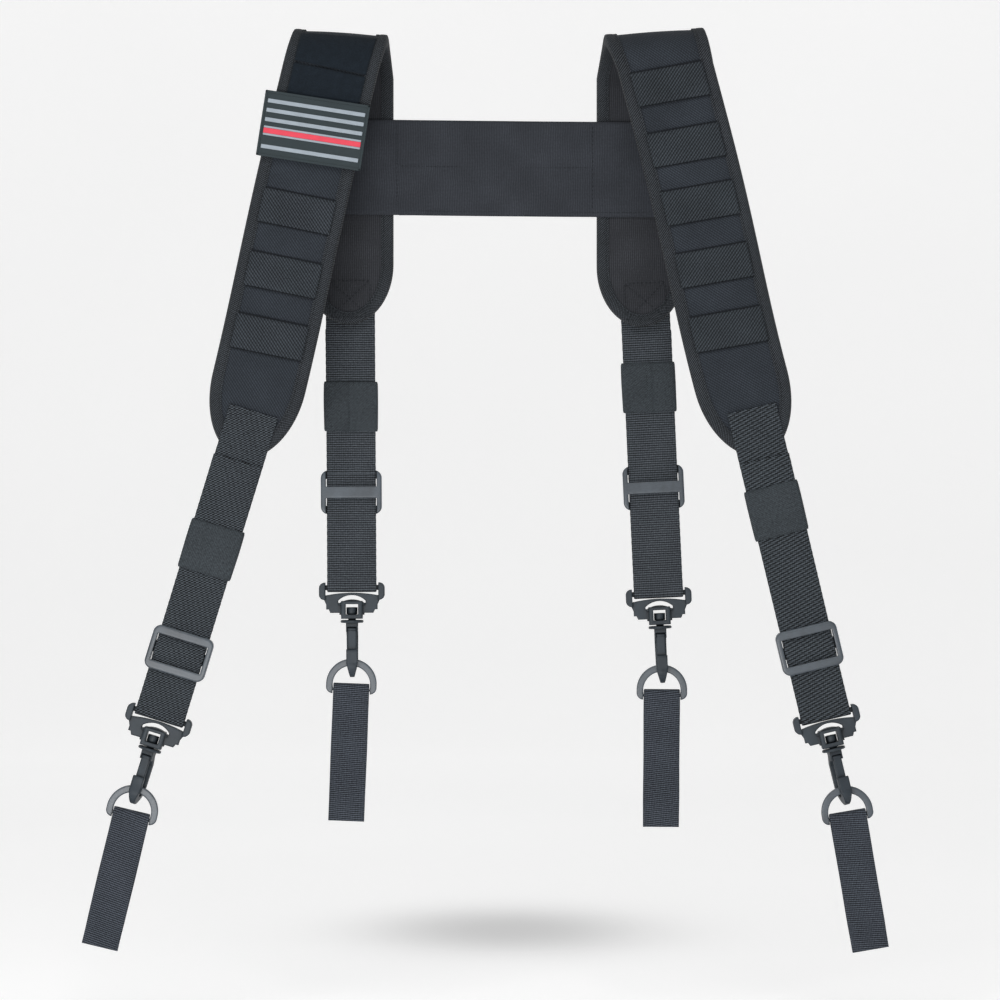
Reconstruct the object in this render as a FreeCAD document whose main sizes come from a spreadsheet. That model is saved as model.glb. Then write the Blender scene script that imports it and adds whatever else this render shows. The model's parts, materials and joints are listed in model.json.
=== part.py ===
import FreeCAD, Part
import math
import os
import re

from FreeCAD import Placement, Rotation, Vector

os.makedirs("parts", exist_ok=True)

# Padded H-back suspenders, hanging from the shoulders.
# X runs across the wearer (left_ is +X), the front straps are at -Y, and Z is up.
# The origin is the middle of the shoulder line, level with the inside of the pads' arches.
#
# A strap's pieces are modelled in the strap's own frame: x across the webbing, y outwards from the
# pad's outer face, z up along the strap with 0 at the pad's tip.

SIZES = {
    # shoulder pads
    "pad_half_thickness": 4.0,
    "arch_radius": 26.0,
    "front_half_width": 35.5,
    "rear_half_width": 34.0,
    "front_end_length": 58.0,
    "rear_end_length": 46.0,
    "binding_width": 9.0,
    "binding_thickness": 0.6,
    "cover_thickness": 0.7,
    "layer_gap": 0.1,
    "right_fold_across": -117.5,
    "right_fold_height": 9.0,
    "right_fold_tilt": 3.8,
    "right_fold_half_width": 36.3,
    "right_rear_across": -112.8,
    "left_fold_across": 121.4,
    "left_fold_height": 9.6,
    "left_fold_tilt": -4.0,
    "left_fold_half_width": 38.6,
    "left_rear_across": 112.8,
    # rows of webbing sewn across the front pads
    "right_row_first": 128.9,
    "left_row_first": 30.4,
    "row_pitch": 48.0,
    "row_height": 26.4,
    "row_thickness": 1.2,
    "tape_gap": 1.5,
    "tape_split": 31.0,
    "tape_end": 75.0,
    "right_row_lean": -1.6,
    "left_row_lean": 4.0,
    # yoke between the rear pads
    "yoke_half_width": 124.0,
    "yoke_low": -130.8,
    "yoke_high": -57.4,
    "yoke_thickness": 1.5,
    "yoke_gap": 0.9,
    "field_half_width": 74.0,
    "field_strip": 34.0,
    "field_thickness": 1.5,
    # patch
    "patch_across": -137.6,
    "patch_height": -68.9,
    "patch_tilt": 8.8,
    "patch_width": 80.0,
    "patch_tall": 50.0,
    "patch_thickness": 1.5,
    "patch_backing": 1.0,
    "backing_width": 48.0,
    "backing_half_height": 22.0,
    "backing_shift": -4.0,
    "patch_gap": 0.3,
    "art_height": 0.6,
    "patch_border": 2.8,
    "bar_drop": 7.7,
    "bar_pitch": 7.15,
    "bar_height": 2.6,
    "red_drop": 30.4,
    "red_height": 4.0,
    "line_height": 1.5,
    "last_bar_drop": 42.5,
    "patch_corner": 2.5,
    # webbing, and the two layers it lies in
    "webbing_width": 38.0,
    "webbing_thickness": 1.4,
    "main_layer": 0.7,
    "tail_layer": 2.3,
    "tab_length": 36.0,
    "tail_start": 3.0,
    "bight_length": 12.0,
    "bar_depth": 2.2,
    "bar_radius": 2.0,
    "bight_clearance": 0.2,
    # keeper
    "keeper_width": 42.0,
    "keeper_length": 38.4,
    "keeper_corner": 1.0,
    "keeper_wall": 1.2,
    "slack": 0.3,
    # tri-glide
    "glide_width": 47.0,
    "glide_tall": 34.0,
    "glide_slot": 39.4,
    "glide_bar": 6.6,
    "glide_bar_thickness": 2.6,
    "glide_rim": 1.0,
    "glide_centre_bar": 9.0,
    "glide_corner": 6.0,
    # hook base
    "base_half_width": 25.3,
    "base_slot": 41.0,
    "base_ear_depth": 9.0,
    "base_web_depth": 6.4,
    "ear_top": 3.9,
    "ear_bottom": 9.5,
    "arch_crown": 4.0,
    "arch_sag": 2.1,
    "lens_crown": 5.8,
    "lens_radius": 15.2,
    "hood_crown": 9.2,
    "hood_radius": 18.8,
    "hood_width": 20.2,
    "hood_bottom": 13.4,
    "hood_half_depth": 5.0,
    "lens_margin": 2.6,
    "ear_corner": 4.2,
    "collar_width": 16.6,
    "collar_depth": 12.6,
    "collar_top": 10.4,
    "collar_bottom": 24.0,
    "collar_corner": 1.2,
    "window_width": 9.8,
    "window_top": 12.7,
    "window_bottom": 20.8,
    "bore_top": 15.0,
    "shank_radius": 3.0,
    "shank_clearance": 0.25,
    # swivel hook, measured down from the base's bar
    "head_radius": 4.3,
    "head_top": 15.2,
    "flange_top": 25.1,
    "flange_bottom": 27.2,
    "flange_radius": 8.9,
    "flange_rim": 0.8,
    "hook_width": 9.2,
    "eye_radius": 4.6,
    "eye_centre": 58.1,
    "hook_tip": 69.3,
    "gate_pivot_drop": 32.2,
    "gate_pivot_out": 3.0,
    "gate_end": 50.0,
    "gate_width": 6.6,
    "gate_slot": 7.2,
    "gate_pin_radius": 0.8,
    "gate_pin_clearance": 0.06,
    "gate_barrel_radius": 1.6,
    # D-ring, measured from the middle of its top
    "ring_drop": 57.8,
    "ring_half_width": 19.5,
    "ring_half_thickness": 2.0,
    "ring_top": 2.7,
    "ring_bottom": 24.3,
    "ring_inner_radius": 14.5,
    "ring_bar_drop": 20.1,
    "ring_bar_half": 2.0,
    "ring_corner": 5.0,
    "ring_bar_rounding": 0.9,
    # belt loop, measured from the D-ring's bar
    "belt_webbing_width": 27.8,
    "belt_bend_inner": 2.65,
    "belt_bend_outer": 3.95,
    "belt_loop_length": 102.6,
    "belt_loop_closed": 22.0,
    "belt_loop_sewn": 11.0,
    # corners: the pad's tip, the strap's tilt in its own plane, and the distances down the strap
    "right_front_tip_across": -193.1,
    "right_front_tip_height": -315.6,
    "right_front_tilt": 17.1,
    "right_front_keeper": 54.4,
    "right_front_glide": 155.8,
    "right_front_bar": 205.6,
    "right_front_loop_tilt": 13.5,
    "right_front_hook_turn": -10.0,
    "left_front_tip_across": 202.7,
    "left_front_tip_height": -314.0,
    "left_front_tilt": -13.5,
    "left_front_keeper": 24.5,
    "left_front_glide": 150.9,
    "left_front_bar": 203.3,
    "left_front_loop_tilt": -9.7,
    "left_front_hook_turn": 10.0,
    "right_rear_tip_across": -111.8,
    "right_rear_tip_height": -212.5,
    "right_rear_tilt": -0.3,
    "right_rear_keeper": 44.5,
    "right_rear_glide": 130.0,
    "right_rear_bar": 203.7,
    "right_rear_loop_tilt": 2.2,
    "right_rear_hook_turn": 180.0,
    "left_rear_tip_across": 116.6,
    "left_rear_tip_height": -214.3,
    "left_rear_tilt": -2.7,
    "left_rear_keeper": 28.0,
    "left_rear_glide": 124.6,
    "left_rear_bar": 206.7,
    "left_rear_loop_tilt": 0.4,
    "left_rear_hook_turn": 180.0,
}

SIDES = ["right", "left"]
CORNERS = ["right_front", "left_front", "right_rear", "left_rear"]
ACROSS = Vector(1, 0, 0)
OUT = Vector(0, 1, 0)
UP = Vector(0, 0, 1)
FAR = 500.0  # reach of the half-space boxes and overlong blanks that booleans trim

doc = FreeCAD.newDocument("Suspenders")
sheet = doc.addObject("Spreadsheet::Sheet", "Sizes")
nodes = []


# ---------------------------------------------------------------- sheet and small helpers


def fill_sheet():
    for row, (alias, value) in enumerate(SIZES.items(), start=1):
        sheet.set(f"A{row}", alias)
        sheet.set(f"B{row}", str(value))
        sheet.setAlias(f"B{row}", alias)
    doc.recompute()


def size(alias):
    return float(sheet.get(alias))


def bind(piece, prop, text):
    """Bind a property to an expression of the sheet's aliases."""
    piece.setExpression(prop, re.sub(r"[a-z]\w+", r"Sizes.\g<0>", text))


def slab(name, width, near, far, low, high, middle="0"):
    """A box centred on middle across, from near to far outwards and from low to high."""
    box = doc.addObject("Part::Box", name)
    bind(box, "Length", width)
    bind(box, "Width", f"({far}) - ({near})")
    bind(box, "Height", f"({high}) - ({low})")
    bind(box, "Placement.Base.x", f"({middle}) - ({width}) / 2")
    bind(box, "Placement.Base.y", near)
    bind(box, "Placement.Base.z", low)
    return box


def across_rod(name, radius, width, out="0", height="0"):
    """A cylinder along x, centred across."""
    rod = doc.addObject("Part::Cylinder", name)
    rod.Placement = Placement(Vector(), Rotation(OUT, 90))
    bind(rod, "Radius", radius)
    bind(rod, "Height", width)
    bind(rod, "Placement.Base.x", f"-({width}) / 2")
    bind(rod, "Placement.Base.y", out)
    bind(rod, "Placement.Base.z", height)
    return rod


def out_rod(name, radius, depth, height, across="0"):
    """A cylinder along y, centred on y = 0."""
    rod = doc.addObject("Part::Cylinder", name)
    rod.Placement = Placement(Vector(), Rotation(ACROSS, -90))
    bind(rod, "Radius", radius)
    bind(rod, "Height", depth)
    bind(rod, "Placement.Base.x", across)
    bind(rod, "Placement.Base.y", f"-({depth}) / 2")
    bind(rod, "Placement.Base.z", height)
    return rod


def upright_rod(name, radius, low, high):
    """A cylinder along z."""
    rod = doc.addObject("Part::Cylinder", name)
    bind(rod, "Radius", radius)
    bind(rod, "Height", f"({high}) - ({low})")
    bind(rod, "Placement.Base.z", low)
    return rod


def fuse(name, *pieces):
    joined = doc.addObject("Part::MultiFuse", name)
    joined.Shapes = list(pieces)
    return joined


def common(name, *pieces):
    shared = doc.addObject("Part::MultiCommon", name)
    shared.Shapes = list(pieces)
    return shared


def cut(name, base, *tools):
    """The base less each tool in turn."""
    for number, tool in enumerate(tools, start=1):
        less = doc.addObject("Part::Cut", f"{name}_{number}")
        less.Base = base
        less.Tool = tool
        base = less
    return base


def fillet(name, base, radius, wanted):
    """Round the edges of a piece that wanted(edge) picks out."""
    doc.recompute()
    rounded = doc.addObject("Part::Fillet", name)
    rounded.Base = base
    edges = enumerate(base.Shape.Edges, start=1)
    rounded.Edges = [(number, radius, radius) for number, edge in edges if wanted(edge)]
    return rounded


def spans(edge, axis, value):
    """Whether an edge lies in the plane where that axis (0, 1 or 2) has that value."""
    return all(abs(vertex.Point[axis] - value) < 1e-3 for vertex in edge.Vertexes)


def runs_along(edge, direction):
    """Whether an edge is straight and runs along a direction."""
    straight = isinstance(edge.Curve, (Part.Line, Part.LineSegment))
    return straight and abs(abs(edge.Curve.Direction.dot(direction)) - 1) < 1e-6


def profile(name, role, wires, width):
    """A PartDesign body: one sketch of closed outlines on an origin plane, padded both ways."""
    body = doc.addObject("PartDesign::Body", name)
    plane = next(f for f in body.Origin.OriginFeatures if f.Role == role)
    sketch = body.newObject("Sketcher::SketchObject", name + "_sketch")
    sketch.AttachmentSupport = [(plane, "")]
    sketch.MapMode = "FlatFace"
    for geometry in wires:
        sketch.addGeometry(geometry, False)
    pad = body.newObject("PartDesign::Pad", name + "_pad")
    pad.Profile = sketch
    pad.Midplane = True
    bind(pad, "Length", width)
    return body


def lines(points):
    """Straight sketch lines through (x, y) points."""
    flat = [Vector(x, y, 0) for x, y in points]
    return [Part.LineSegment(a, b) for a, b in zip(flat, flat[1:])]


def arc(start, middle, end):
    """A sketch arc through three (x, y) points."""
    return Part.Arc(*[Vector(x, y, 0) for x, y in (start, middle, end)])


def add_node(label, piece, place=Placement()):
    """Put a copy of a piece into the assembly as a node of its own."""
    copy = doc.addObject("Part::Compound", label)
    copy.Links = [piece]
    copy.Label = label
    copy.Placement = place
    nodes.append(copy)


def add_shape(label, shape):
    """Put a shape made with Part's functions into the assembly as a node of its own."""
    feature = doc.addObject("Part::Feature", label)
    feature.Shape = shape
    feature.Label = label
    nodes.append(feature)


# ---------------------------------------------------------------- shoulder pads


class ShoulderPad:
    """The path of one shoulder pad: a flat front leg, an arch over the shoulder, a flat rear leg."""

    def __init__(self, side):
        top = size("arch_radius") + size("pad_half_thickness")
        self.crown = Vector(size(side + "_fold_across"), 0, size(side + "_fold_height"))
        self.axis = self.crown - UP * top
        self.fold = Placement(self.axis, Rotation(OUT, size(side + "_fold_tilt")))
        self.fold_half = size(side + "_fold_half_width")
        front = side + "_front_tip_"
        self.front_tip = Vector(size(front + "across"), 0, size(front + "height"))
        rear_across = size(side + "_rear_across")
        self.rear_tip = Vector(rear_across, 0, size(side + "_rear_tip_height"))
        self.rear_top = Vector(rear_across, 0, self.axis.z)
        self.front_frame = leg_frame(self.crown, self.front_tip)
        self.rear_frame = leg_frame(self.rear_top, self.rear_tip)

    def start(self, frame):
        """Where a leg's centre line crosses the arch's axis plane, across the fold."""
        to_fold = self.fold.inverse()
        tip = to_fold.multVec(frame.Base)
        way = to_fold.Rotation.multVec(frame.Rotation.multVec(UP))
        return tip.x - way.x * tip.z / way.z

    def leg(self, frame, out, half_width, end_length, low, high):
        """One leg's slab between two heights over the mid-surface, up to the arch."""
        near = out * (size("arch_radius") + low)
        outline = tongue(half_width, end_length)
        slab_shape = outline.extrude(OUT * out * (high - low))
        slab_shape.translate(OUT * near)
        slab_shape.Placement = frame.multiply(slab_shape.Placement)
        below = Part.makeBox(2 * FAR, 2 * FAR, FAR, Vector(-FAR, -FAR, -FAR))
        below.Placement = self.fold
        return slab_shape.common(below)

    def arch(self, front_half, rear_half, low, high):
        """The bent stretch, skewed so that it runs from leg to leg through the crown."""
        inner = size("arch_radius") + low
        outer = size("arch_radius") + high
        start = Vector(-FAR, 0, 0)
        tube = Part.makeCylinder(outer, 2 * FAR, start, ACROSS)
        tube = tube.cut(Part.makeCylinder(inner, 2 * FAR, start, ACROSS))
        front = self.start(self.front_frame)
        rear = self.start(self.rear_frame)
        reach = outer / size("arch_radius")
        crown = self.fold.inverse().multVec(self.crown).x
        crown_half = self.fold_half - (size("front_half_width") - front_half)
        front_edge = crown + (front - crown) * reach
        rear_edge = crown + (rear - crown) * reach
        plan = Part.makePolygon([
            Vector(front_edge - front_half, -outer, 0),
            Vector(front_edge + front_half, -outer, 0),
            Vector(crown + crown_half, 0, 0),
            Vector(rear_edge + rear_half, outer, 0),
            Vector(rear_edge - rear_half, outer, 0),
            Vector(crown - crown_half, 0, 0),
            Vector(front_edge - front_half, -outer, 0),
        ])
        bent = tube.common(Part.Face(plan).extrude(UP * outer))
        bent.Placement = self.fold
        return bent

    def strip(self, inset, low, high):
        """The whole pad's shape, drawn in from its edge, between two heights over the mid-surface."""
        front_half = size("front_half_width") - inset
        rear_half = size("rear_half_width") - inset
        front_end = size("front_end_length") - inset
        rear_end = size("rear_end_length") - inset
        front_frame = self.front_frame.multiply(Placement(UP * inset, Rotation()))
        rear_frame = self.rear_frame.multiply(Placement(UP * inset, Rotation()))
        front = self.leg(front_frame, -1, front_half, front_end, low, high)
        rear = self.leg(rear_frame, 1, rear_half, rear_end, low, high)
        return front.fuse([self.arch(front_half, rear_half, low, high), rear])

    def front_rows(self, spans_down, inset, lean):
        """Leaning bands across the front leg, each between two distances down from the crown."""
        length = (self.crown - self.front_tip).Length
        low = size("pad_half_thickness") + 0.05
        skin = self.strip(inset, low, low + size("row_thickness"))
        rows = []
        for top, bottom in spans_down:
            height = bottom - top
            box = Part.makeBox(2 * FAR, FAR, height, Vector(-FAR, -FAR, -height / 2))
            middle = UP * (length - (top + bottom) / 2)
            box.Placement = self.front_frame.multiply(Placement(middle, Rotation(OUT, lean)))
            rows.append(skin.common(box))
        return Part.makeCompound(rows)


def leg_frame(top, tip):
    """The frame of a pad's leg: its tip, with z up along the leg."""
    way = top - tip
    tilt = math.degrees(math.atan2(way.x, way.z))
    return Placement(tip, Rotation(OUT, tilt))


def tongue(half_width, end_length):
    """A leg's outline: straight sides and a half-elliptic end, with the tip at the origin."""
    ellipse = Part.Ellipse(Vector(0, 0, end_length), end_length, half_width)
    ellipse.Axis = OUT
    ellipse.XAxis = UP
    left = Vector(-half_width, 0, end_length)
    right = Vector(half_width, 0, end_length)
    turn = sorted(ellipse.parameter(point) for point in (left, right))
    end = Part.Arc(ellipse, turn[0], turn[1])
    if end.value((turn[0] + turn[1]) / 2).z > end_length:
        end = Part.Arc(ellipse, turn[1], turn[0] + 2 * math.pi)
    sides = Part.makePolygon([right, right + UP * FAR, left + UP * FAR, left])
    return Part.Face(Part.Wire([end.toShape()] + sides.Edges))


def shoulder_pad(side):
    """Foam, the cover round it, and the binding tape folded over the edge."""
    pad = ShoulderPad(side)
    half = size("pad_half_thickness")
    skin = size("cover_thickness")
    gap = size("layer_gap")
    edge = size("binding_thickness")
    inside = half - skin
    foam = pad.strip(edge + skin + 2 * gap, -inside + gap, inside - gap)
    hollow = pad.strip(edge + skin + gap, -inside, inside)
    cover = pad.strip(edge + gap, -half, half).cut(hollow)
    opening = pad.strip(size("binding_width"), -half - 1, half + 1)
    wrapped = pad.strip(edge, -half - gap / 2, half + gap / 2)
    binding = pad.strip(0, -half - edge, half + edge).cut(opening).cut(wrapped)
    add_shape(side + "_pad_foam", foam)
    add_shape(side + "_pad_cover", cover)
    add_shape(side + "_pad_binding", binding)
    return pad


def row_spans(first, count):
    """Where rows of webbing start and end, down from the crown."""
    tops = [size(first) + size("row_pitch") * number for number in range(count)]
    return [(top, top + size("row_height")) for top in tops]


def pad_trim(right, left):
    """Rows of webbing on both front pads, and the hook-and-loop tapes on the right one."""
    inset = size("binding_width") + 0.2
    split = size("tape_split")
    tapes = [(1.0, split), (split + size("tape_gap"), size("tape_end"))]
    right_lean = size("right_row_lean")
    left_lean = size("left_row_lean")
    add_shape("left_webbing_rows", left.front_rows(row_spans("left_row_first", 5), inset, left_lean))
    add_shape("right_webbing_rows", right.front_rows(row_spans("right_row_first", 3), inset, right_lean))
    add_shape("right_loop_tapes", right.front_rows(tapes, inset, right_lean))


# ---------------------------------------------------------------- yoke and patch


def yoke():
    """The band between the rear pads, on their inner side, and the loop strips on its back."""
    inner_face = "arch_radius - pad_half_thickness"
    front = f"{inner_face} - yoke_gap - yoke_thickness"
    back = f"{inner_face} - yoke_gap"
    panel = slab("yoke_blank", "2 * yoke_half_width", front, back, "yoke_low", "yoke_high")
    add_node("yoke_panel", panel)
    middle = "(yoke_low + yoke_high) / 2"
    near = f"{back} + 0.1"
    far = f"{near} + field_thickness"
    width = "2 * field_half_width"
    lower = slab("field_lower", width, near, far, f"{middle} - 1 - field_strip", f"{middle} - 1")
    upper = slab("field_upper", width, near, far, f"{middle} + 1", f"{middle} + 1 + field_strip")
    add_node("yoke_loop_field", fuse("field_strips", lower, upper))


def patch():
    """A removable patch: hook backing, base, and plain raised bars on the face."""
    tapes = size("arch_radius") + size("pad_half_thickness") + size("row_thickness")
    frame = Placement(
        Vector(size("patch_across"), -tapes, size("patch_height")),
        Rotation(OUT, size("patch_tilt")).multiply(Rotation(UP, 180)),
    )
    width, tall = "patch_width", "patch_tall"
    back = "patch_gap"
    base_near = f"{back} + patch_backing + 0.05"
    face = f"{base_near} + patch_thickness"
    backing = slab(
        "patch_backing_blank", "backing_width", back, f"{back} + patch_backing",
        "-backing_half_height", "backing_half_height", "backing_shift",
    )
    add_node("patch_hook_backing", backing, frame)
    blank = slab("patch_blank", width, base_near, face, f"-{tall} / 2", f"{tall} / 2")
    corner = size("patch_corner")
    base = fillet("patch_base_rounded", blank, corner, lambda edge: runs_along(edge, OUT))
    add_node("patch_base", base, frame)
    add_node("patch_bars", patch_bars(face), frame)
    add_node("patch_red_bar", patch_stripe("patch_red_blank", face, "red_drop", "red_height"), frame)


def patch_stripe(name, face, drop, height):
    """A raised bar across the patch's face, centred a distance down from its top edge."""
    centre = f"patch_tall / 2 - {drop}"
    low, high = f"{centre} - {height} / 2", f"{centre} + {height} / 2"
    return slab(name, "patch_width - 2 * patch_border", f"{face} + 0.02", f"{face} + art_height", low, high)


def patch_bars(face):
    bars = [patch_stripe("patch_bar_last", face, "last_bar_drop", "bar_height")]
    for number in range(3):
        drop = f"(bar_drop + bar_pitch * {number})"
        bars.append(patch_stripe(f"patch_bar_{number}", face, drop, "bar_height"))
    for name, sign in (("above", "-"), ("below", "+")):
        drop = f"(red_drop {sign} ((red_height + line_height) / 2 + 0.05))"
        bars.append(patch_stripe(f"patch_line_{name}", face, drop, "line_height"))
    return fuse("patch_bar_set", *bars)


# ---------------------------------------------------------------- strap pieces


def keeper():
    """A sewn sleeve round both layers of webbing, with z = 0 at its top."""
    inner_near = "main_layer - slack"
    inner_far = "tail_layer + webbing_thickness + slack"
    near = f"{inner_near} - keeper_wall"
    far = f"{inner_far} + keeper_wall"
    sleeve = slab("keeper_blank", "keeper_width", near, far, "-keeper_length", "0")
    corner = size("keeper_corner")
    corners = fillet("keeper_rounded", sleeve, corner, lambda edge: runs_along(edge, UP))
    width = "webbing_width + 2 * slack"
    hole = slab("keeper_hole", width, inner_near, inner_far, "-keeper_length - 1", "1")
    return cut("keeper_piece", corners, hole)


def tri_glide():
    """A frame with two outer bars over the webbing and a centre bar under it."""
    under = "main_layer - slack"
    over = "tail_layer + webbing_thickness + slack"
    near = f"{under} - glide_bar_thickness"
    far = f"{over} + glide_bar_thickness"
    blank = slab("glide_blank", "glide_width", near, far, "-glide_tall / 2", "glide_tall / 2")
    corners = fillet("glide_corners", blank, size("glide_corner"), lambda edge: runs_along(edge, OUT))
    thick = size("glide_bar_thickness")
    near_face = size("main_layer") - size("slack") - thick
    far_face = size("tail_layer") + size("webbing_thickness") + size("slack") + thick
    rim = fillet(
        "glide_rounded", corners, size("glide_rim"),
        lambda edge: spans(edge, 1, near_face) or spans(edge, 1, far_face),
    )
    top = "glide_tall / 2 + 1"
    window = "glide_tall / 2 - glide_bar"
    centre = "glide_centre_bar / 2"
    passage = slab("glide_passage", "glide_slot", under, over, f"-({top})", top)
    front = slab("glide_window", "glide_slot", over, f"{far} + 1", f"-({window})", window)
    above = slab("glide_above", "glide_slot", f"{near} - 1", under, centre, top)
    below = slab("glide_below", "glide_slot", f"{near} - 1", under, f"-({top})", f"-({centre})")
    return cut("glide_piece", rim, passage, front, above, below)


def webbing_bight():
    """The bend of the webbing round the hook's bar, with z = 0 at the bar."""
    thick = size("webbing_thickness")
    bar = size("bar_depth")
    inner = size("bar_radius") + size("bight_clearance")
    outer = inner + thick
    main = size("main_layer")
    tail = size("tail_layer") + thick
    top = size("bight_length")
    wires = lines([(main, top), (bar - outer, 0)])
    wires.append(arc((bar - outer, 0), (bar, -outer), (bar + outer, 0)))
    wires += lines([(bar + outer, 0), (tail, top), (tail - thick, top), (bar + inner, 0)])
    wires.append(arc((bar + inner, 0), (bar, -inner), (bar - inner, 0)))
    wires += lines([(bar - inner, 0), (main + thick, top), (main, top)])
    return profile("bight_piece", "YZ_Plane", wires, "webbing_width")


def hook_base():
    """The frame with the webbing bar, and the collar that the hook turns in."""
    slot = "base_slot / 2"
    bar = across_rod("base_bar", "bar_radius", "base_slot + 2")
    ears = []
    for name, sign in (("right", "-"), ("left", "")):
        middle = f"{sign}(base_half_width + {slot}) / 2"
        width = f"base_half_width - {slot}"
        depth = "base_ear_depth / 2"
        ear = slab(f"base_ear_{name}", width, f"-{depth}", depth, "-ear_bottom", "ear_top", middle)
        edge_x = size("base_half_width") * (-1 if sign else 1)
        outer = fillet(
            f"base_ear_{name}_rounded", ear, size("ear_corner"),
            lambda edge, x=edge_x: runs_along(edge, OUT) and spans(edge, 0, x),
        )
        ears.append(outer)
    half = size("base_slot") / 2 + 0.5
    web_top = -size("arch_crown") - size("arch_sag")
    foot_out, foot_in, neck = 19.8, 17.8, 9.6
    foot_top, foot_bottom, web_bottom = -13.2, -16.8, -21.0
    outline = [
        (half, web_top), (half + 0.6, -9.0), (foot_out, foot_top), (foot_out, foot_bottom),
        (foot_in, foot_bottom), (foot_in - 1.2, -19.5), (neck, -19.5), (neck, web_bottom),
    ]
    mirrored = [(-x, z) for x, z in reversed(outline)]
    wires = lines(outline + mirrored)
    wires.append(arc(mirrored[-1], (0, -size("arch_crown")), outline[0]))
    web = profile("base_web", "XZ_Plane", wires, "base_web_depth")
    through = "2 * base_ear_depth"
    arch_under = out_rod("lens_round", "lens_radius", through, "-lens_crown - lens_radius")
    lens_low = "-hood_crown - lens_margin"
    lens_box = slab("lens_box", "hood_width + 1", "-10", "10", lens_low, "-lens_crown + 1")
    lens = common("lens_above", arch_under, lens_box)
    hood_round = out_rod("hood_round", "hood_radius", through, "-hood_crown - hood_radius")
    opening = cut("lens", lens, hood_round)
    hood_depth = "hood_half_depth"
    hood_blank = slab("hood_blank", "hood_width", f"-{hood_depth}", hood_depth, "-hood_bottom", "-hood_crown")
    hood = common("hood", hood_blank, hood_round)
    depth = "collar_depth / 2"
    collar_blank = slab("collar_blank", "collar_width", f"-{depth}", depth, "-collar_bottom", "-collar_top")
    corner = size("collar_corner")
    collar = fillet("collar", collar_blank, corner, lambda edge: runs_along(edge, UP))
    body = fuse("base_solid", bar, *ears, cut("base_web_open", web, opening), hood, collar)
    window = slab("base_window", "window_width", "-10", "10", "-window_bottom", "-window_top")
    bore = upright_rod("base_bore", "shank_radius + shank_clearance", "-collar_bottom - 1", "-bore_top")
    return cut("base_piece", body, window, bore)


def swivel_hook():
    """Head, shank and flange of revolution, with the hook's flat body below them."""
    head = upright_rod("hook_head", "head_radius", "-window_bottom + slack", "-head_top")
    shank = upright_rod("hook_shank", "shank_radius", "-flange_bottom - 1", "-head_top")
    flange = upright_rod("hook_flange", "flange_radius", "-flange_bottom", "-flange_top")
    rounding = size("flange_rim")
    rim = fillet("hook_flange_rim", flange, rounding, lambda edge: isinstance(edge.Curve, Part.Circle))
    eye = size("eye_radius")
    low = -size("eye_centre")
    tip = -size("hook_tip")
    top = -size("flange_bottom") + 0.2
    # the side view: y outwards, with the gate's side at +y
    nose, nose_top = 8.2, -47.5
    back, back_top = -8.4, -37.0
    neck, neck_bottom = 4.6, -34.2
    shelf_end, eye_top = -0.8, -38.0
    side = lines([
        (-neck, top), (neck, top), (neck, neck_bottom), (shelf_end, neck_bottom),
        (-eye, eye_top), (-eye, low),
    ])
    side.append(arc((-eye, low), (0, low - eye), (eye, low)))
    side += lines([(eye, low), (eye, nose_top - 2.0)])
    side.append(arc((eye, nose_top - 2.0), ((eye + nose) / 2, nose_top), (nose, nose_top - 2.0)))
    side += lines([(nose, nose_top - 2.0), (nose, low)])
    side.append(arc((nose, low), (0, tip), (back, low)))
    side += lines([(back, low), (back, back_top), (-neck, -30.5), (-neck, top)])
    side_body = profile("hook_side", "YZ_Plane", side, "hook_width")
    # the front view tapers from the neck to a blunt tip
    half = [(neck, top + 0.1), (4.35, -49.0), (4.3, low - 0.4), (1.6, tip)]
    front_outline = half + [(-x, z) for x, z in reversed(half)]
    front_body = profile("hook_front", "XZ_Plane", lines(front_outline + half[:1]), "40")
    hook = common("hook_body", side_body, front_body)
    slot = slab("hook_gate_slot", "gate_slot", "-0.6", "12", "-40", "-30.3")
    pin = across_rod(
        "hook_gate_pin", "gate_pin_radius", "hook_width - 0.4", "gate_pivot_out", "-gate_pivot_drop"
    )
    nose_box = slab("hook_nose_keep", "gate_slot", "eye_radius - 1", "12", "-40", "-36")
    slotted = cut("hook_slotted", hook, cut("hook_slot", slot, nose_box))
    return fuse("hook_piece", head, shank, rim, slotted, pin)


def gate():
    """The hook's gate: a barrel on the pin and a leaf that stops behind the nose."""
    out, drop = "gate_pivot_out", "-gate_pivot_drop"
    barrel = across_rod("gate_barrel", "gate_barrel_radius", "gate_width", out, drop)
    leaf = slab("gate_leaf", "gate_width", f"{out} - 1.2", f"{out} + 1.2", "-gate_end", drop)
    hole = across_rod("gate_hole", "gate_pin_radius + gate_pin_clearance", "gate_width + 2", out, drop)
    return cut("gate_piece", fuse("gate_solid", barrel, leaf), hole)


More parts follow.
